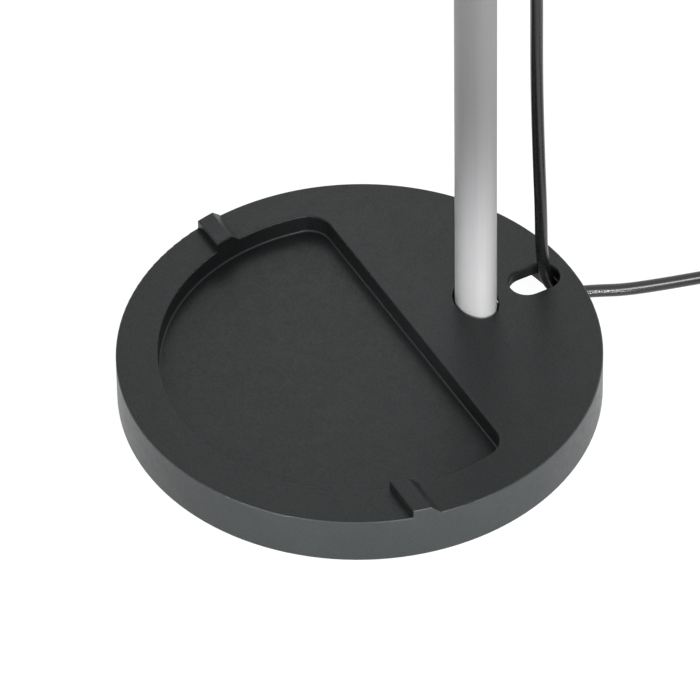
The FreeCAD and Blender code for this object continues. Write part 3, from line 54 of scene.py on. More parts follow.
class Recipe:
    """A material being made up: its node tree, with a short call for each node that it needs."""

    def __init__(self, name: str, metal: float = 0.0, shine: float = 0.5) -> None:
        """Starts an empty recipe.

        Args:
            name: The material's name.
            metal: How far the surface is metal, from 0 to 1.
            shine: How strongly it mirrors head on, 0.5 being plain plastic.
        """
        self.material = bpy.data.materials.new(name)
        self.material.use_nodes = True
        self.tree = self.material.node_tree
        self.surface = self.tree.nodes["Principled BSDF"]
        self.surface.inputs["Metallic"].default_value = metal
        self.surface.inputs["Specular IOR Level"].default_value = shine

    def node(self, kind: str) -> bpy.types.Node:
        """Adds a node of this kind."""
        return self.tree.nodes.new(kind)

    def join(self, source: bpy.types.NodeSocket, target: bpy.types.NodeSocket) -> None:
        """Links two sockets."""
        self.tree.links.new(source, target)

    def place(self, stretch: Place = (1.0, 1.0, 1.0)) -> bpy.types.NodeSocket:
        """The object's own coordinates, in metres.

        Args:
            stretch: What each axis is multiplied by.

        Returns:
            The vector socket to read.
        """
        source, mapping = self.node("ShaderNodeTexCoord"), self.node("ShaderNodeMapping")
        mapping.inputs["Scale"].default_value = stretch
        self.join(source.outputs["Object"], mapping.inputs["Vector"])
        return mapping.outputs["Vector"]

    def noise(self, where: bpy.types.NodeSocket, size: float, detail: float = 3.0) -> bpy.types.NodeSocket:
        """Soft noise.

        Args:
            where: The coordinates.
            size: The size of its patches in millimetres.
            detail: How many finer layers it has.

        Returns:
            Its value socket.
        """
        noise = self.node("ShaderNodeTexNoise")
        noise.inputs["Scale"].default_value = 1000.0 / size
        noise.inputs["Detail"].default_value = detail
        self.join(where, noise.inputs["Vector"])
        return noise.outputs["Fac"]

    def cells(self, where: bpy.types.NodeSocket, size: float) -> bpy.types.NodeSocket:
        """Round cells, such as pores.

        Args:
            where: The coordinates.
            size: The size of a cell in millimetres.

        Returns:
            The distance to the middle of the nearest cell.
        """
        cells = self.node("ShaderNodeTexVoronoi")
        cells.inputs["Scale"].default_value = 1000.0 / size
        self.join(where, cells.inputs["Vector"])
        return cells.outputs["Distance"]

    def spread(self, value: bpy.types.NodeSocket, low: float, high: float) -> bpy.types.NodeSocket:
        """A noise value carried to a range.

        Args:
            value: The noise, most of which lies between 0.3 and 0.7.
            low: What 0.3 becomes.
            high: What 0.7 becomes.

        Returns:
            The carried value.
        """
        carry = self.node("ShaderNodeMapRange")
        for name, number in (("From Min", 0.3), ("From Max", 0.7), ("To Min", low), ("To Max", high)):
            carry.inputs[name].default_value = number
        self.join(value, carry.inputs["Value"])
        return carry.outputs["Result"]

    def tint(
        self, value: bpy.types.NodeSocket, low: Tone, high: Tone, ends: tuple[float, float] = (0.3, 0.7)
    ) -> None:
        """Colours the surface between two tones.

        Args:
            value: What chooses between them.
            low: The tone at the lower end.
            high: The tone at the upper end.
            ends: The two values at which each tone is reached.
        """
        ramp = self.node("ShaderNodeValToRGB")
        for element, position, tone in zip(ramp.color_ramp.elements, ends, (low, high)):
            element.position, element.color = position, (*tone, 1.0)
        self.join(value, ramp.inputs["Fac"])
        self.join(ramp.outputs["Color"], self.surface.inputs["Base Color"])

    def relief(self, *layers: tuple[bpy.types.NodeSocket, float]) -> None:
        """Gives the surface fine relief.

        Args:
            layers: Pairs of a height and how deep it is in millimetres.
        """
        normal = None
        for height, depth in layers:
            bump = self.node("ShaderNodeBump")
            bump.inputs["Distance"].default_value = depth * MM
            self.join(height, bump.inputs["Height"])
            if normal is not None:
                self.join(normal, bump.inputs["Normal"])
            normal = bump.outputs["Normal"]
        if normal is not None:
            self.join(normal, self.surface.inputs["Normal"])

    def beyond(self, radius: float, inside: float, outside: float, band: float = 0.3) -> bpy.types.NodeSocket:
        """A value that changes where the surface is farther than this from the object's upright axis.

        Args:
            radius: The radius in millimetres.
            inside: The value nearer than that.
            outside: The value beyond it.
            band: How wide the change is, in millimetres.

        Returns:
            The value.
        """
        length, carry = self.node("ShaderNodeVectorMath"), self.node("ShaderNodeMapRange")
        length.operation = "LENGTH"
        self.join(self.place((1.0, 1.0, 0.0)), length.inputs[0])
        ends = (("From Min", (radius - band) * MM), ("From Max", radius * MM))
        for name, number in (*ends, ("To Min", inside), ("To Max", outside)):
            carry.inputs[name].default_value = number
        self.join(length.outputs["Value"], carry.inputs["Value"])
        return carry.outputs["Result"]

    def times(self, first: bpy.types.NodeSocket, second: bpy.types.NodeSocket) -> bpy.types.NodeSocket:
        """One value times another.

        Args:
            first: The one.
            second: The other.

        Returns:
            Their product.
        """
        product = self.node("ShaderNodeMath")
        product.operation = "MULTIPLY"
        self.join(first, product.inputs[0])
        self.join(second, product.inputs[1])
        return product.outputs["Value"]

    def scaled(self, value: bpy.types.NodeSocket) -> None:
        """Multiplies the surface's colour.

        Args:
            value: What it is multiplied by.
        """
        scale = self.node("ShaderNodeVectorMath")
        scale.operation = "SCALE"
        colour = self.surface.inputs["Base Color"]
        self.join(colour.links[0].from_socket, scale.inputs[0])
        self.join(value, scale.inputs["Scale"])
        self.join(scale.outputs["Vector"], colour)

    def gloss(self, value: bpy.types.NodeSocket, middle: float, swing: float) -> None:
        """Lets the roughness wander round a middle value."""
        self.join(self.spread(value, middle - swing, middle + swing), self.surface.inputs["Roughness"])


def shaded(tone: Tone, share: float) -> Tone:
    """A tone made lighter or darker."""
    return tuple(min(1.0, part * share) for part in tone)


@dataclass(frozen=True)
class Finish:
    """What every finish has: its name, its tone and how rough it is."""

    name: str
    tone: Tone
    rough: float
    shine: float = 0.5

    def build(self) -> bpy.types.Material:
        """Makes the material, or gives the one that was made before."""
        return bpy.data.materials.get(self.name) or self.mix()

    def mix(self) -> bpy.types.Material:
        """Makes the material anew."""
        raise NotImplementedError

    def dress(self, *nodes: str) -> None:
        """Puts the finish on pieces of the frame.

        Args:
            nodes: The pieces' names.
        """
        for node in nodes:
            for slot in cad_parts[node].material_slots:
                slot.material = self.build()
            LOG.info("%s wears %s", node, self.name)


@dataclass(frozen=True)
class Moulding(Finish):
    """Moulded plastic from a spark-eroded tool: a small even grain, and tiny changes of tone and gloss."""

    grain: float = 0.45
    depth: float = 0.035
    patch: float = 26.0

    def even(self) -> Recipe:
        """Mixes the grain, the tone and the gloss that every moulding has.

        Returns:
            The recipe so far.
        """
        recipe = Recipe(self.name, 0.0, self.shine)
        where = recipe.place()
        grain = recipe.noise(where, self.grain, 2.0)
        recipe.tint(recipe.noise(where, self.patch, 5.0), shaded(self.tone, 0.86), shaded(self.tone, 1.14))
        recipe.gloss(recipe.noise(where, self.patch / 6, 4.0), self.rough, 0.035)
        recipe.relief((recipe.noise(where, self.grain * 9, 2.0), self.depth * 0.9), (grain, self.depth))
        return recipe

    def mix(self) -> bpy.types.Material:
        """Mixes a plain moulding."""
        return self.even().material


@dataclass(frozen=True)
class FootMoulding(Moulding):
    """The foot's moulding: a deck with a crisp, speckled grain, inside a duller wall whose colour is painted
    paler, as painted light for the light that the side wall catches.
    """

    wall_radius: float = 112.2
    # Painted light: the wall's colour is multiplied by this, standing in for the light that the side wall
    # catches.
    wall_painted_light: float = 3.6
    wall_shine: float = 0.55
    speckle: float = 0.2
    fleck: float = 0.9
    mirror_tone: Tone = (0.94, 0.99, 1.0)

    def mix(self) -> bpy.types.Material:
        """Mixes an even moulding, then sets the wall apart from the deck, its colour painted lighter as
        painted light.

        Returns:
            The material.
        """
        recipe = self.even()
        # Painted light: beyond wall_radius the colour is made lighter, for the light that falls on the side
        # wall.
        recipe.scaled(recipe.beyond(self.wall_radius, 1.0, self.wall_painted_light))
        fine = recipe.noise(recipe.place(), self.fleck, 4.0)
        flecks = recipe.spread(fine, 1.0 - self.speckle, 1.0 + self.speckle)
        mirror = recipe.times(flecks, recipe.beyond(self.wall_radius, self.shine, self.wall_shine))
        recipe.join(mirror, recipe.surface.inputs["Specular IOR Level"])
        recipe.surface.inputs["Specular Tint"].default_value = (*self.mirror_tone, 1.0)
        return recipe.material


@dataclass(frozen=True)
class DrawnTube(Finish):
    """Satin aluminium tube: faint lines along its length under a clear matt skin."""

    along: Place = (1.0, 1.0, 1.0)
    metal: float = 0.1

    def mix(self) -> bpy.types.Material:
        """Mixes the drawn lines and the skin.

        Returns:
            The material.
        """
        recipe = Recipe(self.name, self.metal, self.shine)
        lines = recipe.noise(recipe.place(self.along), 0.9, 3.0)
        cloud = recipe.noise(recipe.place(), 14.0, 4.0)
        recipe.tint(lines, shaded(self.tone, 0.98), shaded(self.tone, 1.02))
        recipe.gloss(cloud, self.rough, 0.03)
        recipe.relief((lines, 0.004), (recipe.noise(recipe.place(), 0.35, 2.0), 0.006))
        return recipe.material


@dataclass(frozen=True)
class Plating(Finish):
    """Plated or bare bright metal with light cloudiness and fine tool marks."""

    warm: Tone = (0.66, 0.64, 0.58)
    marks: float = 0.01

    def mix(self) -> bpy.types.Material:
        """Mixes the cloudiness and the marks.

        Returns:
            The material.
        """
        recipe = Recipe(self.name, 1.0, self.shine)
        where = recipe.place()
        recipe.tint(recipe.noise(where, 5.0, 5.0), self.tone, self.warm)
        recipe.gloss(recipe.noise(where, 1.6, 4.0), self.rough, 0.06)
        recipe.relief((recipe.noise(recipe.place((1.0, 1.0, 7.0)), 0.8, 2.0), self.marks))
        return recipe.material


@dataclass(frozen=True)
class Casting(Finish):
    """Rough sand-cast iron under a thin coat of paint."""

    def mix(self) -> bpy.types.Material:
        """Mixes the sand's grain and the coat.

        Returns:
            The material.
        """
        recipe = Recipe(self.name, 0.35, self.shine)
        where = recipe.place()
        sand = recipe.noise(where, 1.4, 6.0)
        recipe.tint(sand, shaded(self.tone, 0.6), shaded(self.tone, 1.3))
        recipe.gloss(recipe.noise(where, 4.0), self.rough, 0.1)
        recipe.relief((recipe.noise(where, 7.0, 3.0), 0.3), (sand, 0.22))
        return recipe.material


@dataclass(frozen=True)
class Foam(Finish):
    """Closed-cell foam rubber: small pores whose middles are painted dark, a painted shade in their pits."""

    def mix(self) -> bpy.types.Material:
        """Mixes the pores.

        Returns:
            The material.
        """
        recipe = Recipe(self.name, 0.0, self.shine)
        where = recipe.place()
        pores = recipe.cells(where, 0.9)
        # Painted shade: each pore is darker towards its middle, where its pit is deepest.
        recipe.tint(pores, shaded(self.tone, 0.55), shaded(self.tone, 1.2), (0.05, 0.45))
        recipe.gloss(recipe.noise(where, 3.0), self.rough, 0.06)
        recipe.relief((pores, 0.12))
        return recipe.material


@dataclass(frozen=True)
class Sleeve(Finish):
    """Smooth extruded sleeve of a lead: half gloss, very slightly uneven."""

    def mix(self) -> bpy.types.Material:
        """Mixes the unevenness.

        Returns:
            The material.
        """
        recipe = Recipe(self.name, 0.0, self.shine)
        where = recipe.place()
        recipe.tint(recipe.noise(where, 9.0, 3.0), shaded(self.tone, 0.8), shaded(self.tone, 1.25))
        recipe.gloss(recipe.noise(where, 2.2, 3.0), self.rough, 0.03)
        recipe.relief((recipe.noise(where, 12.0, 2.0), 0.012), (recipe.noise(where, 0.6, 2.0), 0.0012))
        return recipe.material


@dataclass(frozen=True)
class Board(Finish):
    """A circuit board's lacquer over copper tracks."""

    track: Tone = (0.08, 0.30, 0.15)

    def mix(self) -> bpy.types.Material:
        """Mixes the tracks and the lacquer.

        Returns:
            The material.
        """
        recipe = Recipe(self.name, 0.0, self.shine)
        where = recipe.place()
        tracks = recipe.node("ShaderNodeTexBrick")
        tracks.inputs["Scale"].default_value = 240.0
        tracks.inputs["Mortar Size"].default_value = 0.045
        tones = (("Color1", self.tone), ("Color2", shaded(self.tone, 0.9)), ("Mortar", self.track))
        for label, tone in tones:
            tracks.inputs[label].default_value = (*tone, 1.0)
        recipe.join(where, tracks.inputs["Vector"])
        recipe.join(tracks.outputs["Color"], recipe.surface.inputs["Base Color"])
        recipe.gloss(recipe.noise(where, 2.0), self.rough, 0.05)
        recipe.relief((tracks.outputs["Fac"], 0.03), (recipe.noise(where, 0.5), 0.008))
        return recipe.material


@dataclass(frozen=True)
class Opal(Finish):
    """Opal light-spreading plastic with a fine prismatic grain."""

    clear: float = 0.3

    def mix(self) -> bpy.types.Material:
        """Mixes the grain and the milkiness.

        Returns:
            The material.
        """
        recipe = Recipe(self.name, 0.0, self.shine)
        where = recipe.place()
        recipe.surface.inputs["Transmission Weight"].default_value = self.clear
        recipe.tint(recipe.noise(where, 20.0), shaded(self.tone, 0.97), self.tone)
        recipe.gloss(recipe.noise(where, 3.0), self.rough, 0.04)
        recipe.relief((recipe.cells(where, 0.8), 0.05))
        return recipe.material


class Finishes:
    """The finishes of this lamp, each named for where it is."""

    SHELL = FootMoulding("foot_shell_satin_black", (0.0073, 0.0082, 0.0085), 0.4, 0.32)
    MOULDED = Moulding("moulded_satin_black", (0.014, 0.014, 0.0145), 0.4, 0.36, 0.35, 0.025)
    POST = DrawnTube("post_satin_silver", (0.345, 0.345, 0.347), 0.5, 0.3, (1.0, 1.0, 0.012))
    ARM = DrawnTube("arm_satin_silver", (0.345, 0.345, 0.347), 0.5, 0.3, (1.0, 0.012, 1.0))
    HINGE = Moulding("hinge_satin_black_coat", (0.018, 0.018, 0.019), 0.34, 0.4, 0.3, 0.018)
    ZINC = Plating("zinc_plate", (0.60, 0.62, 0.65), 0.32)
    BRASS = Plating("turned_brass", (0.72, 0.52, 0.24), 0.28, 0.5, (0.60, 0.42, 0.20))
    NICKEL = Plating("nickel_plate", (0.74, 0.73, 0.70), 0.2, 0.5, (0.66, 0.65, 0.60), 0.006)
    SHEET = Plating("mill_sheet", (0.66, 0.66, 0.68), 0.38, 0.5, (0.60, 0.60, 0.62), 0.02)
    IRON = Casting("painted_casting", (0.06, 0.06, 0.062), 0.62)
    PAD = Foam("foam_pad_black", (0.018, 0.018, 0.018), 0.85)
    NYLON = Moulding("natural_nylon", (0.66, 0.66, 0.62), 0.45, 0.5, 0.6, 0.02, 6.0)
    LEAD = Sleeve("lead_sleeve_black", (0.0045, 0.0047, 0.005), 0.25, 0.68)
    WIRE = Sleeve("wire_sleeve_black", (0.016, 0.016, 0.016), 0.4)
    PLUG = Moulding("plug_satin_black", (0.012, 0.012, 0.013), 0.4, 0.45, 0.4, 0.03, 8.0)
    LIGHT_BOARD = Board("white_light_board", (0.80, 0.80, 0.78), 0.32, 0.5, (0.72, 0.72, 0.70))
    DRIVER_BOARD = Board("green_driver_board", (0.03, 0.16, 0.07), 0.3)
    PARTS = Moulding("dark_component_cases", (0.05, 0.05, 0.055), 0.4, 0.5, 0.5, 0.02, 5.0)
    CHIP = Opal("yellow_light_chips", (0.84, 0.66, 0.16), 0.3, 0.5, 0.0)
    OPAL = Opal("opal_spreader", (0.84, 0.84, 0.83), 0.5)
    BUTTON = Moulding("button_satin_grey", (0.20, 0.20, 0.21), 0.38, 0.5, 0.3, 0.015, 5.0)


# ---------------------------------------------------------------- workshop


class Facing(Enum):
    """Which way a screw's head looks."""

    UP = 1
    DOWN = -1


class Bench:
    """A bmesh being worked on in millimetres, with the shapes that the small parts share."""

    def __init__(self) -> None:
        """Starts with nothing on the bench."""
        self.mesh = bmesh.new()

    def turned(self, profile: Points, steps: int) -> list[bmesh.types.BMVert]:
        """Turns a profile round the Z axis.

        Args:
            profile: Radius and height of each of its points, from one end of the axis to the other.
            steps: How many steps make a whole turn.

        Returns:
            The new vertices.
        """
        before = set(self.mesh.verts)
        line = [self.mesh.verts.new((radius, 0.0, height)) for radius, height in profile]
        edges = [self.mesh.edges.new(pair) for pair in zip(line, line[1:])]
        bmesh.ops.spin(
            self.mesh,
            geom=line + edges,
            cent=(0, 0, 0),
            axis=(0, 0, 1),
            angle=2 * math.pi,
            steps=steps,
            use_merge=True,
        )
        made = [vert for vert in self.mesh.verts if vert not in before]
        bmesh.ops.remove_doubles(self.mesh, verts=made, dist=1e-5)
        return [vert for vert in self.mesh.verts if vert not in before]

    def moved(self, verts: list[bmesh.types.BMVert], matrix: Matrix) -> None:
        """Moves vertices by a matrix."""
        bmesh.ops.transform(self.mesh, matrix=matrix, verts=verts)

    def rounded(self, edges: list[bmesh.types.BMEdge], size: float, segments: int) -> None:
        """Rounds edges.

        Args:
            edges: The edges.
            size: How far back the rounding starts, in millimetres.
            segments: How many faces it has.
        """
        bmesh.ops.bevel(
            self.mesh,
            geom=edges,
            offset=size,
            offset_type="OFFSET",
            affect="EDGES",
            segments=segments,
            profile=0.5,
            material=-1,
            clamp_overlap=True,
        )

    def sunk(self, faces: list[bmesh.types.BMFace], depth: float, shrink: float) -> None:
        """Pushes a patch of faces down along Z and shrinks it towards the Z axis.

        Args:
            faces: The patch.
            depth: How far it goes down.
            shrink: What its outline is scaled by at the bottom.
        """
        result = bmesh.ops.extrude_face_region(self.mesh, geom=faces)
        left = [face for face in faces if face.is_valid]
        if left:
            bmesh.ops.delete(self.mesh, geom=left, context="FACES_ONLY")
        verts = [item for item in result["geom"] if isinstance(item, bmesh.types.BMVert)]
        self.moved(verts, Matrix.Translation((0, 0, -depth)) @ Matrix.Diagonal((shrink, shrink, 1.0, 1.0)))

    def finished(self, name: str, finish: Finish, body: str, smooth: float = 32.0) -> bpy.types.Object:
        """Takes the work off the bench as a piece of the lamp.

        Args:
            name: The piece's name.
            finish: Its finish.
            body: The body that it rides on.
            smooth: The largest angle, in degrees, that is shaded smoothly.

        Returns:
            The piece.
        """
        bmesh.ops.remove_doubles(self.mesh, verts=self.mesh.verts, dist=1e-4)
        bmesh.ops.scale(self.mesh, vec=(MM, MM, MM), verts=self.mesh.verts)
        bmesh.ops.recalc_face_normals(self.mesh, faces=self.mesh.faces)
        data = bpy.data.meshes.new(name)
        self.mesh.to_mesh(data)
        self.mesh.free()
        data.shade_smooth()
        data.set_sharp_from_angle(angle=math.radians(smooth))
        piece = bpy.data.objects.new(name, data)
        bpy.context.scene.collection.objects.link(piece)
        data.materials.append(finish.build())
        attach(piece, body)
        LOG.info("%s made, %d faces", name, len(data.polygons))
        return piece


@dataclass
class CrossScrew:
    """A countersunk screw with a cross in its head. Sizes in millimetres.

    Each screw has stopped at its own angle, in degrees for each millimetre of its place in X and Y.
    """

    head: float = 2.3
    shank: float = 1.2
    head_height: float = 1.2
    length: float = 8.0
    steps: int = 36
    rim_in: float = 0.12
    rim_drop: float = 0.1
    tip_in: float = 0.35
    tip_height: float = 0.4
    arm: float = 0.38
    reach: float = 1.25
    depth: float = 0.85
    narrowing: float = 0.62
    stopped: tuple[float, float] = (17.0, 11.0)

    def add(self, bench: Bench, place: Place, facing: Facing) -> None:
        """Adds one screw to a bench.

        Args:
            bench: The bench.
            place: The middle of its flat face.
            facing: Which way the head looks.
        """
        mesh = bench.mesh
        verts_before, faces_before = set(mesh.verts), set(mesh.faces)
        inner = self.head - self.rim_in
        disc = bmesh.ops.create_circle(mesh, cap_ends=True, segments=self.steps, radius=inner)["verts"]
        face = disc[0].link_faces[0]
        rim = list(face.edges)
        for radius, height in (
            (self.head, -self.rim_drop),
            (self.shank, -self.head_height),
            (self.shank, self.tip_height - self.length),
            (self.shank - self.tip_in, -self.length),
        ):
            ring = bmesh.ops.create_circle(mesh, segments=self.steps, radius=radius)["verts"]
            bmesh.ops.translate(mesh, vec=(0, 0, height), verts=ring)
            loop = list({edge for vert in ring for edge in vert.link_edges})
            bmesh.ops.bridge_loops(mesh, edges=rim + loop)
            rim = loop
        bmesh.ops.contextual_create(mesh, geom=rim)
        offsets = [side * size for side in (-1, 1) for size in (self.arm, self.reach)]
        for normal in (Vector((1, 0, 0)), Vector((0, 1, 0))):
            for offset in offsets:
                top = self.flat_top(mesh, faces_before)
                near = list({item for f in top for item in (f, *f.edges, *f.verts)})
                bmesh.ops.bisect_plane(mesh, geom=near, plane_co=normal * offset, plane_no=normal, dist=1e-5)
        cross = [f for f in self.flat_top(mesh, faces_before) if self.in_cross(f)]
        bench.sunk(cross, self.depth, self.narrowing)
        made = [vert for vert in mesh.verts if vert not in verts_before]
        upright = Matrix.Rotation(0.0 if facing is Facing.UP else math.pi, 4, "X")
        stop = math.radians(place[0] * self.stopped[0] + place[1] * self.stopped[1])
        bench.moved(made, Matrix.Translation(place) @ upright @ Matrix.Rotation(stop, 4, "Z"))

    @staticmethod
    def flat_top(mesh: bmesh.types.BMesh, others: set[bmesh.types.BMFace]) -> list[bmesh.types.BMFace]:
        """The faces of the screw's flat face, at height 0, apart from the other screws' faces."""
        return [f for f in mesh.faces if f not in others and all(abs(v.co.z) < 1e-6 for v in f.verts)]

    def in_cross(self, face: bmesh.types.BMFace) -> bool:
        """Whether a face of the head lies in the cross."""
        near, far = sorted(abs(along) for along in face.calc_center_median().xy)
        return near < self.arm and far < self.reach


# ---------------------------------------------------------------- the lamp


@dataclass
class StrainRelief:
    """The ribbed strain relief under the post's head. Sizes in millimetres, heights from its lower end."""

    place: Place = (-2.4, 92.0, 348.0)
    steps: int = 40
    seat: Points = ((0, 34.5), (5.7, 34.5), (6.0, 34.2), (6.0, 32.5), (4.5, 32.5), (4.5, 30.0))
    collar: Points = ((6.2, 30.0), (6.5, 29.7), (6.5, 27.8), (6.2, 27.5), (5.5, 27.3))
    ribs: int = 6
    top_rib: float = 24.6
    pitch: float = 4.1
    tip: float = 3.9
    mouth: float = 3.5
    lip: float = 0.6
    taper: float = 0.0635
    rib: Points = ((0.0, 0.0), (0.75, 0.4), (0.8, 1.5), (0.1, 1.9))

    def build(self) -> None:
        """Makes the strain relief."""
        profile = [*self.seat, *self.collar]
        for number in range(self.ribs):
            height = self.top_rib - self.pitch * number
            radius = self.tip + (height - 0.5) * self.taper
            profile += [(radius - inwards, height - down) for inwards, down in self.rib]
        profile += [(self.tip, self.lip), (self.mouth, 0.0), (0, 0)]
        bench = Bench()
        bench.turned(profile, self.steps)
        bench.moved(bench.mesh.verts, Matrix.Translation(self.place))
        relief = bench.finished("ribbed_strain_relief", Finishes.PLUG, "base")
        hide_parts("strain_relief")


@dataclass
class MainsPlug:
    """The plug: a tapered block with finger grips, a ribbed sleeve and two pins. Sizes in millimetres.

    It is made lying along X with the lead's end at the origin, and is then moved to its place.
    """

    place: Matrix
    face: float = 48.0
    half_width: float = 17.0
    shoulder: float = 25.0
    neck: tuple[float, float] = (16.0, 9.0)
    thickness: float = 13.6
    corner: float = 4.2
    edge: float = 2.2
    grip_inset: float = 3.0
    grip_depth: float = 0.5
    sleeve: float = 4.6
    sleeve_steps: int = 40
    grooves: int = 4
    first_groove: float = 1.6
    groove_pitch: float = 3.1
    groove: Points = ((0.0, 0.0), (0.7, 0.35), (0.7, 1.45), (0.0, 1.8))
    pin_spacing: float = 18.8
    pin_steps: int = 32
    pin_root: float = 9.9
    root: Points = ((0, 0), (1.95, 0), (1.95, 9.8), (1.8, 10))
    contact: Points = ((2.0, 10.2), (2.0, 17.2), (1.7, 18.3), (1.0, 18.9), (0, 19))

    def outline(self) -> Points:
        """The block's outline seen from above."""
        end, half = self.neck
        right = ((end, -half), (self.shoulder, -self.half_width), (self.face, -self.half_width))
        return (*right, *((x, -y) for x, y in reversed(right)))

    @staticmethod
    def rise(edge: bmesh.types.BMEdge) -> float:
        """How far an edge rises."""
        return abs(edge.verts[0].co.z - edge.verts[1].co.z)

    def body(self) -> bpy.types.Object:
        """Makes the moulded body.

        Returns:
            The piece.
        """
        bench = Bench()
        mesh = bench.mesh
        under = mesh.faces.new([mesh.verts.new((x, y, -self.thickness / 2)) for x, y in self.outline()])
        made = bmesh.ops.extrude_face_region(mesh, geom=[under])["geom"]
        raised = [item for item in made if isinstance(item, bmesh.types.BMVert)]
        bmesh.ops.translate(mesh, vec=(0, 0, self.thickness), verts=raised)
        bmesh.ops.recalc_face_normals(mesh, faces=mesh.faces)
        bench.rounded([edge for edge in mesh.edges if self.rise(edge) > 1], self.corner, 6)
        level = [edge for edge in mesh.edges if self.rise(edge) < 0.1 and edge.calc_face_angle(0) > 1.2]
        bench.rounded(level, self.edge, 4)
        for side in (1, -1):
            flat = max(mesh.faces, key=lambda f: f.calc_area() if f.normal.z * side > 0.9 else 0)
            bmesh.ops.inset_individual(mesh, faces=[flat], thickness=self.grip_inset)
            bmesh.ops.inset_individual(mesh, faces=[flat], thickness=self.grip_depth, depth=-self.grip_depth)
        profile = [(0, 0), (self.sleeve - 0.5, 0), (self.sleeve, 0.5)]
        for number in range(self.grooves):
            start = self.first_groove + self.groove_pitch * number
            profile += [(self.sleeve - inwards, start + along) for inwards, along in self.groove]
        profile += [(self.sleeve, 15.0), (self.sleeve + 1.0, 17.5), (0, 18.5)]
        sleeve = bench.turned(profile, self.sleeve_steps)
        bench.moved(sleeve, Matrix.Rotation(math.pi / 2, 4, "Y"))
        bench.moved(mesh.verts, self.place)
        plug = bench.finished("mains_plug", Finishes.PLUG, "base")
        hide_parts("plug_body")
        return plug

    def pins(self) -> bpy.types.Object:
        """Makes the two pins, with black sleeves on their roots.

        Returns:
            The piece.
        """
        bench = Bench()
        lying = Matrix.Rotation(math.pi / 2, 4, "Y")
        for side in (-0.5, 0.5):
            pin = bench.turned([*self.root, *self.contact], self.pin_steps)
            bench.moved(pin, Matrix.Translation((self.face, side * self.pin_spacing, 0)) @ lying)
        root_end = self.face + self.pin_root
        rooted = [face for face in bench.mesh.faces if face.calc_center_median().x < root_end]
        bench.moved(bench.mesh.verts, self.place)
        for face in rooted:
            face.material_index = 1
        pins = bench.finished("plug_contact_pins", Finishes.NICKEL, "base")
        pins.data.materials.append(Finishes.PLUG.build())
        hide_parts("plug_pins")
        return pins

    def build(self) -> tuple[bpy.types.Object, bpy.types.Object]:
        """Makes the plug.

        Returns:
            Its body and its pins.
        """
        return self.body(), self.pins()


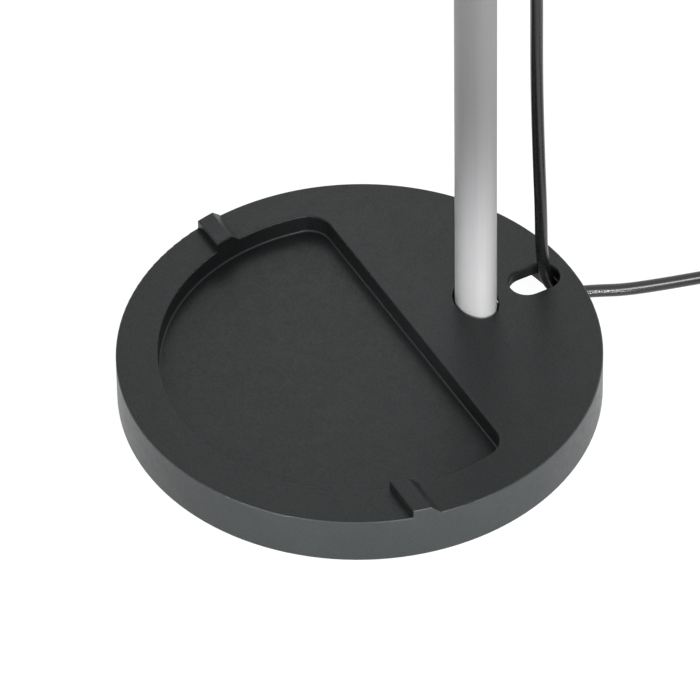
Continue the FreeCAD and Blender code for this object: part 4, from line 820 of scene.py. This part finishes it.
@dataclass
class MainsLead:
    """The lead: it hangs behind the post, passes through the foot and is coiled away. Sizes in metres."""

    diameter: float = 0.006
    length: float = 1.75
    coil_middle: tuple[float, float] = (0.070, 0.205)
    inner_turn: float = 0.024
    turns_below: int = 4
    turns_above: int = 3
    entry: float = 164.0
    leaving: float = 44.0
    points_a_turn: int = 20
    crossing: float = 0.16
    climb_start: float = 0.66
    climb: float = 0.2
    hanging: tuple[Place, ...] = (
        (-0.0024, 0.0920, 0.3480),
        (-0.0024, 0.0921, 0.3160),
        (-0.0022, 0.0934, 0.2640),
        (-0.0020, 0.0945, 0.2050),
        (-0.0020, 0.0946, 0.1520),
        (-0.0020, 0.0959, 0.1040),
        (-0.0022, 0.0975, 0.0660),
        (-0.0030, 0.0983, 0.0400),
        (-0.0040, 0.1008, 0.0212),
        (-0.0042, 0.1062, 0.0092),
    )
    lying: tuple[Place, ...] = (
        (-0.0040, 0.1161, 0.0030),
        (0.0004, 0.1264, 0.0030),
        (0.0059, 0.1372, 0.0030),
        (0.0106, 0.1516, 0.0030),
        (0.0160, 0.1710, 0.0030),
        (0.0220, 0.1930, 0.0030),
    )
    tail: tuple[Place, ...] = (
        (0.0959, 0.2300, 0.0090),
        (0.1053, 0.2210, 0.0091),
        (0.1149, 0.2108, 0.0087),
        (0.1239, 0.2001, 0.0073),
        (0.1320, 0.1898, 0.0068),
    )

    def coil(self) -> list[Place]:
        """The coil's turns: in along the table, up at the inside, and out on top.

        Near the end of each turn the lead crosses to the next ring. The curve runs a little inside its
        points, so the points are drawn on slightly fuller rings.

        Returns:
            Its points, a fixed number to each turn.
        """
        step = 360.0 / self.points_a_turn
        fuller = 1 / (0.75 + 0.25 * math.cos(math.radians(step)))
        left = (self.entry - self.leaving) / 360.0
        count = round((self.turns_below + self.turns_above - 1 + left) * self.points_a_turn)
        points = []
        for number in range(count):
            turn = number / self.points_a_turn
            whole, part = int(turn), turn - int(turn)
            across = max(0.0, (part - 1.0 + self.crossing) / self.crossing)
            if whole < self.turns_below - 1:
                rank, height = self.turns_below - 1 - whole - across, 0.0
            elif whole == self.turns_below - 1:
                rank, height = 0.0, min(1.0, max(0.0, (part - self.climb_start) / self.climb))
            else:
                rank, height = whole - self.turns_below + across, 1.0
            radius = (self.inner_turn + self.diameter * rank) * fuller
            angle = math.radians(self.entry - number * step)
            x = self.coil_middle[0] + radius * math.cos(angle)
            y = self.coil_middle[1] + radius * math.sin(angle)
            points.append((x, y, self.diameter * (0.5 + height)))
        return points

    def draw(self) -> bpy.types.Object:
        """Draws the lead as one smooth curve.

        Returns:
            The curve.
        """
        points = [*self.hanging, *self.lying, *self.coil(), *self.tail]
        data = bpy.data.curves.new("mains_lead", "CURVE")
        data.dimensions = "3D"
        line = data.splines.new("NURBS")
        line.points.add(len(points) - 1)
        for point, place in zip(line.points, points):
            point.co = (*place, 1.0)
        line.order_u = 3
        line.use_endpoint_u = True
        data.resolution_u = 6
        data.bevel_depth = self.diameter / 2
        data.bevel_resolution = 5
        data.use_fill_caps = True
        lead = bpy.data.objects.new("mains_lead", data)
        bpy.context.scene.collection.objects.link(lead)
        data.materials.append(Finishes.LEAD.build())
        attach(lead, "base")
        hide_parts("cord_lead", "cord_coil", "cord_tail")
        return lead

    def plug_place(self) -> Matrix:
        """Where the plug's back is and which way it points.

        Returns:
            The matrix that puts it there, in millimetres.
        """
        before, end = Vector(self.tail[-2]), Vector(self.tail[-1])
        heading = math.atan2(end.y - before.y, end.x - before.x)
        return Matrix.Translation(end / MM) @ Matrix.Rotation(heading, 4, "Z")

    def build(self) -> None:
        """Makes the lead and everything on it."""
        StrainRelief().build()
        lead = self.draw()
        plug, pins = MainsPlug(self.plug_place()).build()
        LOG.info("mains lead drawn, %.2f m", self.length)


@dataclass
class Foot:
    """The round foot: shell with its tray, plate, counterweight, pad and fixings."""

    shell: Finish = Finishes.SHELL
    plate: Finish = Finishes.ZINC

    def build(self) -> None:
        """Dresses the foot."""
        self.shell.dress("base_shell")
        self.plate.dress("base_plate", "shell_screws", "counterweight_screws", "bolt_washer", "post_bolt")
        Finishes.IRON.dress("counterweight")
        Finishes.PAD.dress("non_slip_pad")


@dataclass
class Post:
    """The oval post and the block at its top, with its lid, screws and swivel. Sizes in millimetres."""

    lid_top: float = 411.0
    screws: Points = ((-10.8, 79.0), (6.0, 79.0), (-2.4, 52.0))

    def lid_screws(self) -> bpy.types.Object:
        """Makes the lid's three screws.

        Returns:
            The piece.
        """
        bench, screw = Bench(), CrossScrew()
        for x, y in self.screws:
            screw.add(bench, (x, y, self.lid_top), Facing.UP)
        screws = bench.finished("crosshead_lid_screws", Finishes.ZINC, "base")
        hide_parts("lid_screws")
        return screws

    def build(self) -> None:
        """Dresses the post and its head."""
        Finishes.POST.dress("post_tube")
        Finishes.ZINC.dress("post_foot_plug", "post_set_screw")
        Finishes.MOULDED.dress("post_head", "post_head_lid")
        Finishes.NYLON.dress("terminal_block", "swivel_lower_washer", "swivel_upper_washer")
        Finishes.BRASS.dress("swivel_spindle", "swivel_nut")
        self.lid_screws()


@dataclass
class Arm:
    """The turret that turns on the post, and the arm that tilts in it."""

    coat: Finish = Finishes.HINGE

    def build(self) -> None:
        """Dresses the turret, the arm and their hinges."""
        self.coat.dress("turret", "arm_knuckle", "arm_front_knuckle")
        Finishes.ARM.dress("arm_tube")
        Finishes.ZINC.dress(
            "arm_hinge_bolt", "arm_hinge_nut", "arm_pins", "head_hinge_bolt", "head_hinge_nut"
        )
        Finishes.NYLON.dress("arm_hinge_washers", "head_hinge_washers")
        Finishes.MOULDED.dress("arm_hinge_caps", "head_hinge_caps")
        Finishes.WIRE.dress("arm_wire")


@dataclass
class LampHead:
    """The lamp head: cover, heat sink, light board, spreader, driver and button. Sizes in millimetres."""

    middle: float = -2.4
    under: float = 428.0
    screw_side: float = 25.2
    screw_rows: tuple[float, ...] = (-259.6, -348.0, -436.4)
    button_along: float = -282.0
    button_steps: int = 56
    button_side: Points = ((0, 437.5), (1.8, 437.5), (1.8, 438.5), (7.5, 438.5), (7.5, 439.7), (5.8, 439.7))
    button_edge: Points = ((5.8, 443.0), (5.7, 443.35), (5.45, 443.55), (5.1, 443.6), (4.6, 443.5))
    button_dish: Points = ((3.6, 443.2), (2.4, 443.0), (1.2, 442.9), (0, 442.87))

    def frame_screws(self) -> bpy.types.Object:
        """Makes the six screws of the spreader's frame.

        Returns:
            The piece.
        """
        bench, screw = Bench(), CrossScrew()
        for y in self.screw_rows:
            for side in (-1, 1):
                screw.add(bench, (self.middle + side * self.screw_side, y, self.under), Facing.DOWN)
        screws = bench.finished("crosshead_frame_screws", Finishes.ZINC, "head")
        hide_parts("frame_screws")
        return screws

    def button(self) -> bpy.types.Object:
        """Makes the dished push button.

        Returns:
            The piece.
        """
        bench = Bench()
        bench.turned([*self.button_side, *self.button_edge, *self.button_dish], self.button_steps)
        bench.moved(bench.mesh.verts, Matrix.Translation((self.middle, self.button_along, 0)))
        button = bench.finished("dished_power_button", Finishes.BUTTON, "button")
        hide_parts("power_button")
        return button

    def build(self) -> None:
        """Dresses the head."""
        Finishes.HINGE.dress("head_bracket")
        Finishes.MOULDED.dress("head_cover", "diffuser_frame")
        Finishes.ZINC.dress("bracket_screws", "heat_sink_screws")
        Finishes.SHEET.dress("heat_sink")
        Finishes.LIGHT_BOARD.dress("led_board")
        Finishes.CHIP.dress("led_chips")
        Finishes.OPAL.dress("diffuser")
        Finishes.DRIVER_BOARD.dress("driver_board")
        Finishes.PARTS.dress("driver_parts", "tact_switch")
        self.frame_screws()
        self.button()


# ---------------------------------------------------------------- studio


@dataclass
class Camera:
    """A camera a long way off, above and to the right of the tray. Its place is in metres."""

    place: Place = (2.5171, -1.3546, 2.7927)
    forward: Place = (-0.63306, 0.33945, -0.69570)
    right: Place = (0.47255, 0.88130, 0.0)
    roll: float = -0.8788
    lens: float = 443.54
    sensor: float = 36.0

    def build(self) -> None:
        """Sets up the camera and makes it the scene's."""
        data = bpy.data.cameras.new("studio_camera")
        data.sensor_width, data.lens = self.sensor, self.lens
        data.clip_start, data.clip_end = 0.05, 100.0
        camera = bpy.data.objects.new("studio_camera", data)
        bpy.context.scene.collection.objects.link(camera)
        ahead, right = Vector(self.forward).normalized(), Vector(self.right).normalized()
        up = right.cross(ahead)
        turn = math.radians(self.roll)
        across = right * math.cos(turn) + up * math.sin(turn)
        upright = up * math.cos(turn) - right * math.sin(turn)
        facing = Matrix((across, upright, -ahead)).transposed().to_4x4()
        camera.matrix_world = Matrix.Translation(self.place) @ facing
        bpy.context.scene.camera = camera


@dataclass
class Softbox:
    """A square lamp: its place, aim and size are in metres, its power in watts, its spread in degrees."""

    name: str
    place: Place
    aim: Place
    size: float
    power: float
    spread: float = 180.0

    def build(self) -> None:
        """Hangs the lamp."""
        data = bpy.data.lights.new(self.name, "AREA")
        data.shape, data.size, data.energy = "SQUARE", self.size, self.power
        data.spread = math.radians(self.spread)
        lamp = bpy.data.objects.new(self.name, data)
        bpy.context.scene.collection.objects.link(lamp)
        lamp.location = self.place
        lamp.rotation_euler = (Vector(self.aim) - Vector(self.place)).to_track_quat("-Z", "Y").to_euler()
        lamp.visible_camera = False


@dataclass
class Studio:
    """A pale floor under a pale sky, with softboxes. Radii and the floor's half width are in metres."""

    sky: float = 0.45
    glow: float = 0.97
    floor_reach: float = 30.0
    floor_tone: float = 0.8
    shadow_tone: float = 0.12
    dark_within: float = 0.100
    bright_beyond: float = 0.112
    # Glow that mirrors see inside dark_within: a painted shadow under the foot.
    painted_shadow_glow: float = 0.12
    softboxes: tuple[Softbox, ...] = (
        Softbox("key_softbox", (1.65, 0.1, 1.6), (0.0, 0.0, 0.05), 0.8, 25.0),
        Softbox("left_softbox", (-0.5, -2.1, 0.8), (0.0, 0.0, 0.03), 1.0, 4.0),
        Softbox("back_softbox", (-0.45, 0.25, 0.45), (-0.04, 0.02, 0.02), 0.2, 0.16),
        Softbox("low_right_softbox", (0.62, -0.10, 0.10), (0.0, 0.06, 0.04), 0.1, 0.031, 14.0),
        Softbox("low_left_softbox", (0.42, -0.50, 0.10), (0.0, 0.06, 0.04), 0.1, 0.034, 14.0),
        Softbox("lead_softbox", (0.56, -0.12, 0.40), (0.01, 0.162, 0.0), 0.08, 0.012, 7.0),
    )

    @staticmethod
    def seen(tree: bpy.types.NodeTree) -> bpy.types.NodeSocket:
        """What is 1 for the rays that see the background itself.

        Args:
            tree: The tree to add the nodes to.

        Returns:
            The value: 1 for camera, glossy and transmission rays.
        """
        rays = tree.nodes.new("ShaderNodeLightPath")
        total = rays.outputs["Is Camera Ray"]
        for name in ("Is Glossy Ray", "Is Transmission Ray"):
            either = tree.nodes.new("ShaderNodeMath")
            either.operation = "MAXIMUM"
            tree.links.new(total, either.inputs[0])
            tree.links.new(rays.outputs[name], either.inputs[1])
            total = either.outputs[0]
        return total

    def painted_foot_shadow(self, tree: bpy.types.NodeTree) -> bpy.types.NodeSocket:
        """How brightly the floor glows; mirrors find it dark inside a ring round the foot's middle, a painted
        shadow where the foot stands.

        Args:
            tree: The tree to add the nodes to.

        Returns:
            The strength.
        """
        where, rays = tree.nodes.new("ShaderNodeTexCoord"), tree.nodes.new("ShaderNodeLightPath")
        length, shade = tree.nodes.new("ShaderNodeVectorMath"), tree.nodes.new("ShaderNodeMapRange")
        length.operation = "LENGTH"
        tree.links.new(where.outputs["Object"], length.inputs[0])
        tree.links.new(length.outputs["Value"], shade.inputs["Value"])
        # Painted shadow: for glossy rays the glow falls from the ring inwards, whatever light reaches the
        # floor there.
        radii = (("From Min", self.dark_within), ("From Max", self.bright_beyond))
        for name, number in (*radii, ("To Min", self.painted_shadow_glow), ("To Max", self.glow)):
            shade.inputs[name].default_value = number
        choice = tree.nodes.new("ShaderNodeMix")
        choice.inputs["A"].default_value = self.glow
        tree.links.new(rays.outputs["Is Glossy Ray"], choice.inputs["Factor"])
        tree.links.new(shade.outputs["Result"], choice.inputs["B"])
        return choice.outputs["Result"]

    def world(self) -> None:
        """Makes the sky."""
        world = bpy.data.worlds.new("pale_sky")
        bpy.context.scene.world = world
        world.use_nodes = True
        tree = world.node_tree
        background = tree.nodes["Background"]
        background.inputs["Color"].default_value = (1.0, 1.0, 1.0, 1.0)
        strength = tree.nodes.new("ShaderNodeMapRange")
        strength.inputs["To Min"].default_value = self.sky
        strength.inputs["To Max"].default_value = 1.0
        tree.links.new(self.seen(tree), strength.inputs["Value"])
        tree.links.new(strength.outputs["Result"], background.inputs["Strength"])

    def floor(self) -> None:
        """Lays the floor, which keeps a faint shadow."""
        work = bmesh.new()
        bmesh.ops.create_grid(work, x_segments=1, y_segments=1, size=self.floor_reach)
        data = bpy.data.meshes.new("studio_floor")
        work.to_mesh(data)
        work.free()
        floor = bpy.data.objects.new("studio_floor", data)
        bpy.context.scene.collection.objects.link(floor)
        material = bpy.data.materials.new("pale_floor")
        material.use_nodes = True
        tree = material.node_tree
        tree.nodes.remove(tree.nodes["Principled BSDF"])
        plain = tree.nodes.new("ShaderNodeBsdfDiffuse")
        plain.inputs["Color"].default_value = (*[self.floor_tone] * 3, 1.0)
        faint = tree.nodes.new("ShaderNodeBsdfDiffuse")
        faint.inputs["Color"].default_value = (*[self.shadow_tone] * 3, 1.0)
        glow = tree.nodes.new("ShaderNodeEmission")
        tree.links.new(self.painted_foot_shadow(tree), glow.inputs["Strength"])
        shadowed = tree.nodes.new("ShaderNodeAddShader")
        choice = tree.nodes.new("ShaderNodeMixShader")
        tree.links.new(faint.outputs[0], shadowed.inputs[0])
        tree.links.new(glow.outputs[0], shadowed.inputs[1])
        tree.links.new(self.seen(tree), choice.inputs["Fac"])
        tree.links.new(plain.outputs[0], choice.inputs[1])
        tree.links.new(shadowed.outputs[0], choice.inputs[2])
        tree.links.new(choice.outputs[0], tree.nodes["Material Output"].inputs["Surface"])
        data.materials.append(material)

    def build(self) -> None:
        """Sets the sky, the floor, the lamps and how the picture is shown."""
        self.world()
        self.floor()
        for softbox in self.softboxes:
            softbox.build()
        bpy.context.scene.view_settings.view_transform = "Standard"


def main() -> None:
    """Builds the lamp, dresses it and sets the studio round it."""
    logging.basicConfig(level=logging.INFO, format="%(message)s")
    for part in (Camera(), MainsLead(), Foot(), Post(), Arm(), LampHead(), Studio()):
        part.build()
        LOG.info("%s done", type(part).__name__)


if __name__ == "__main__":
    main()
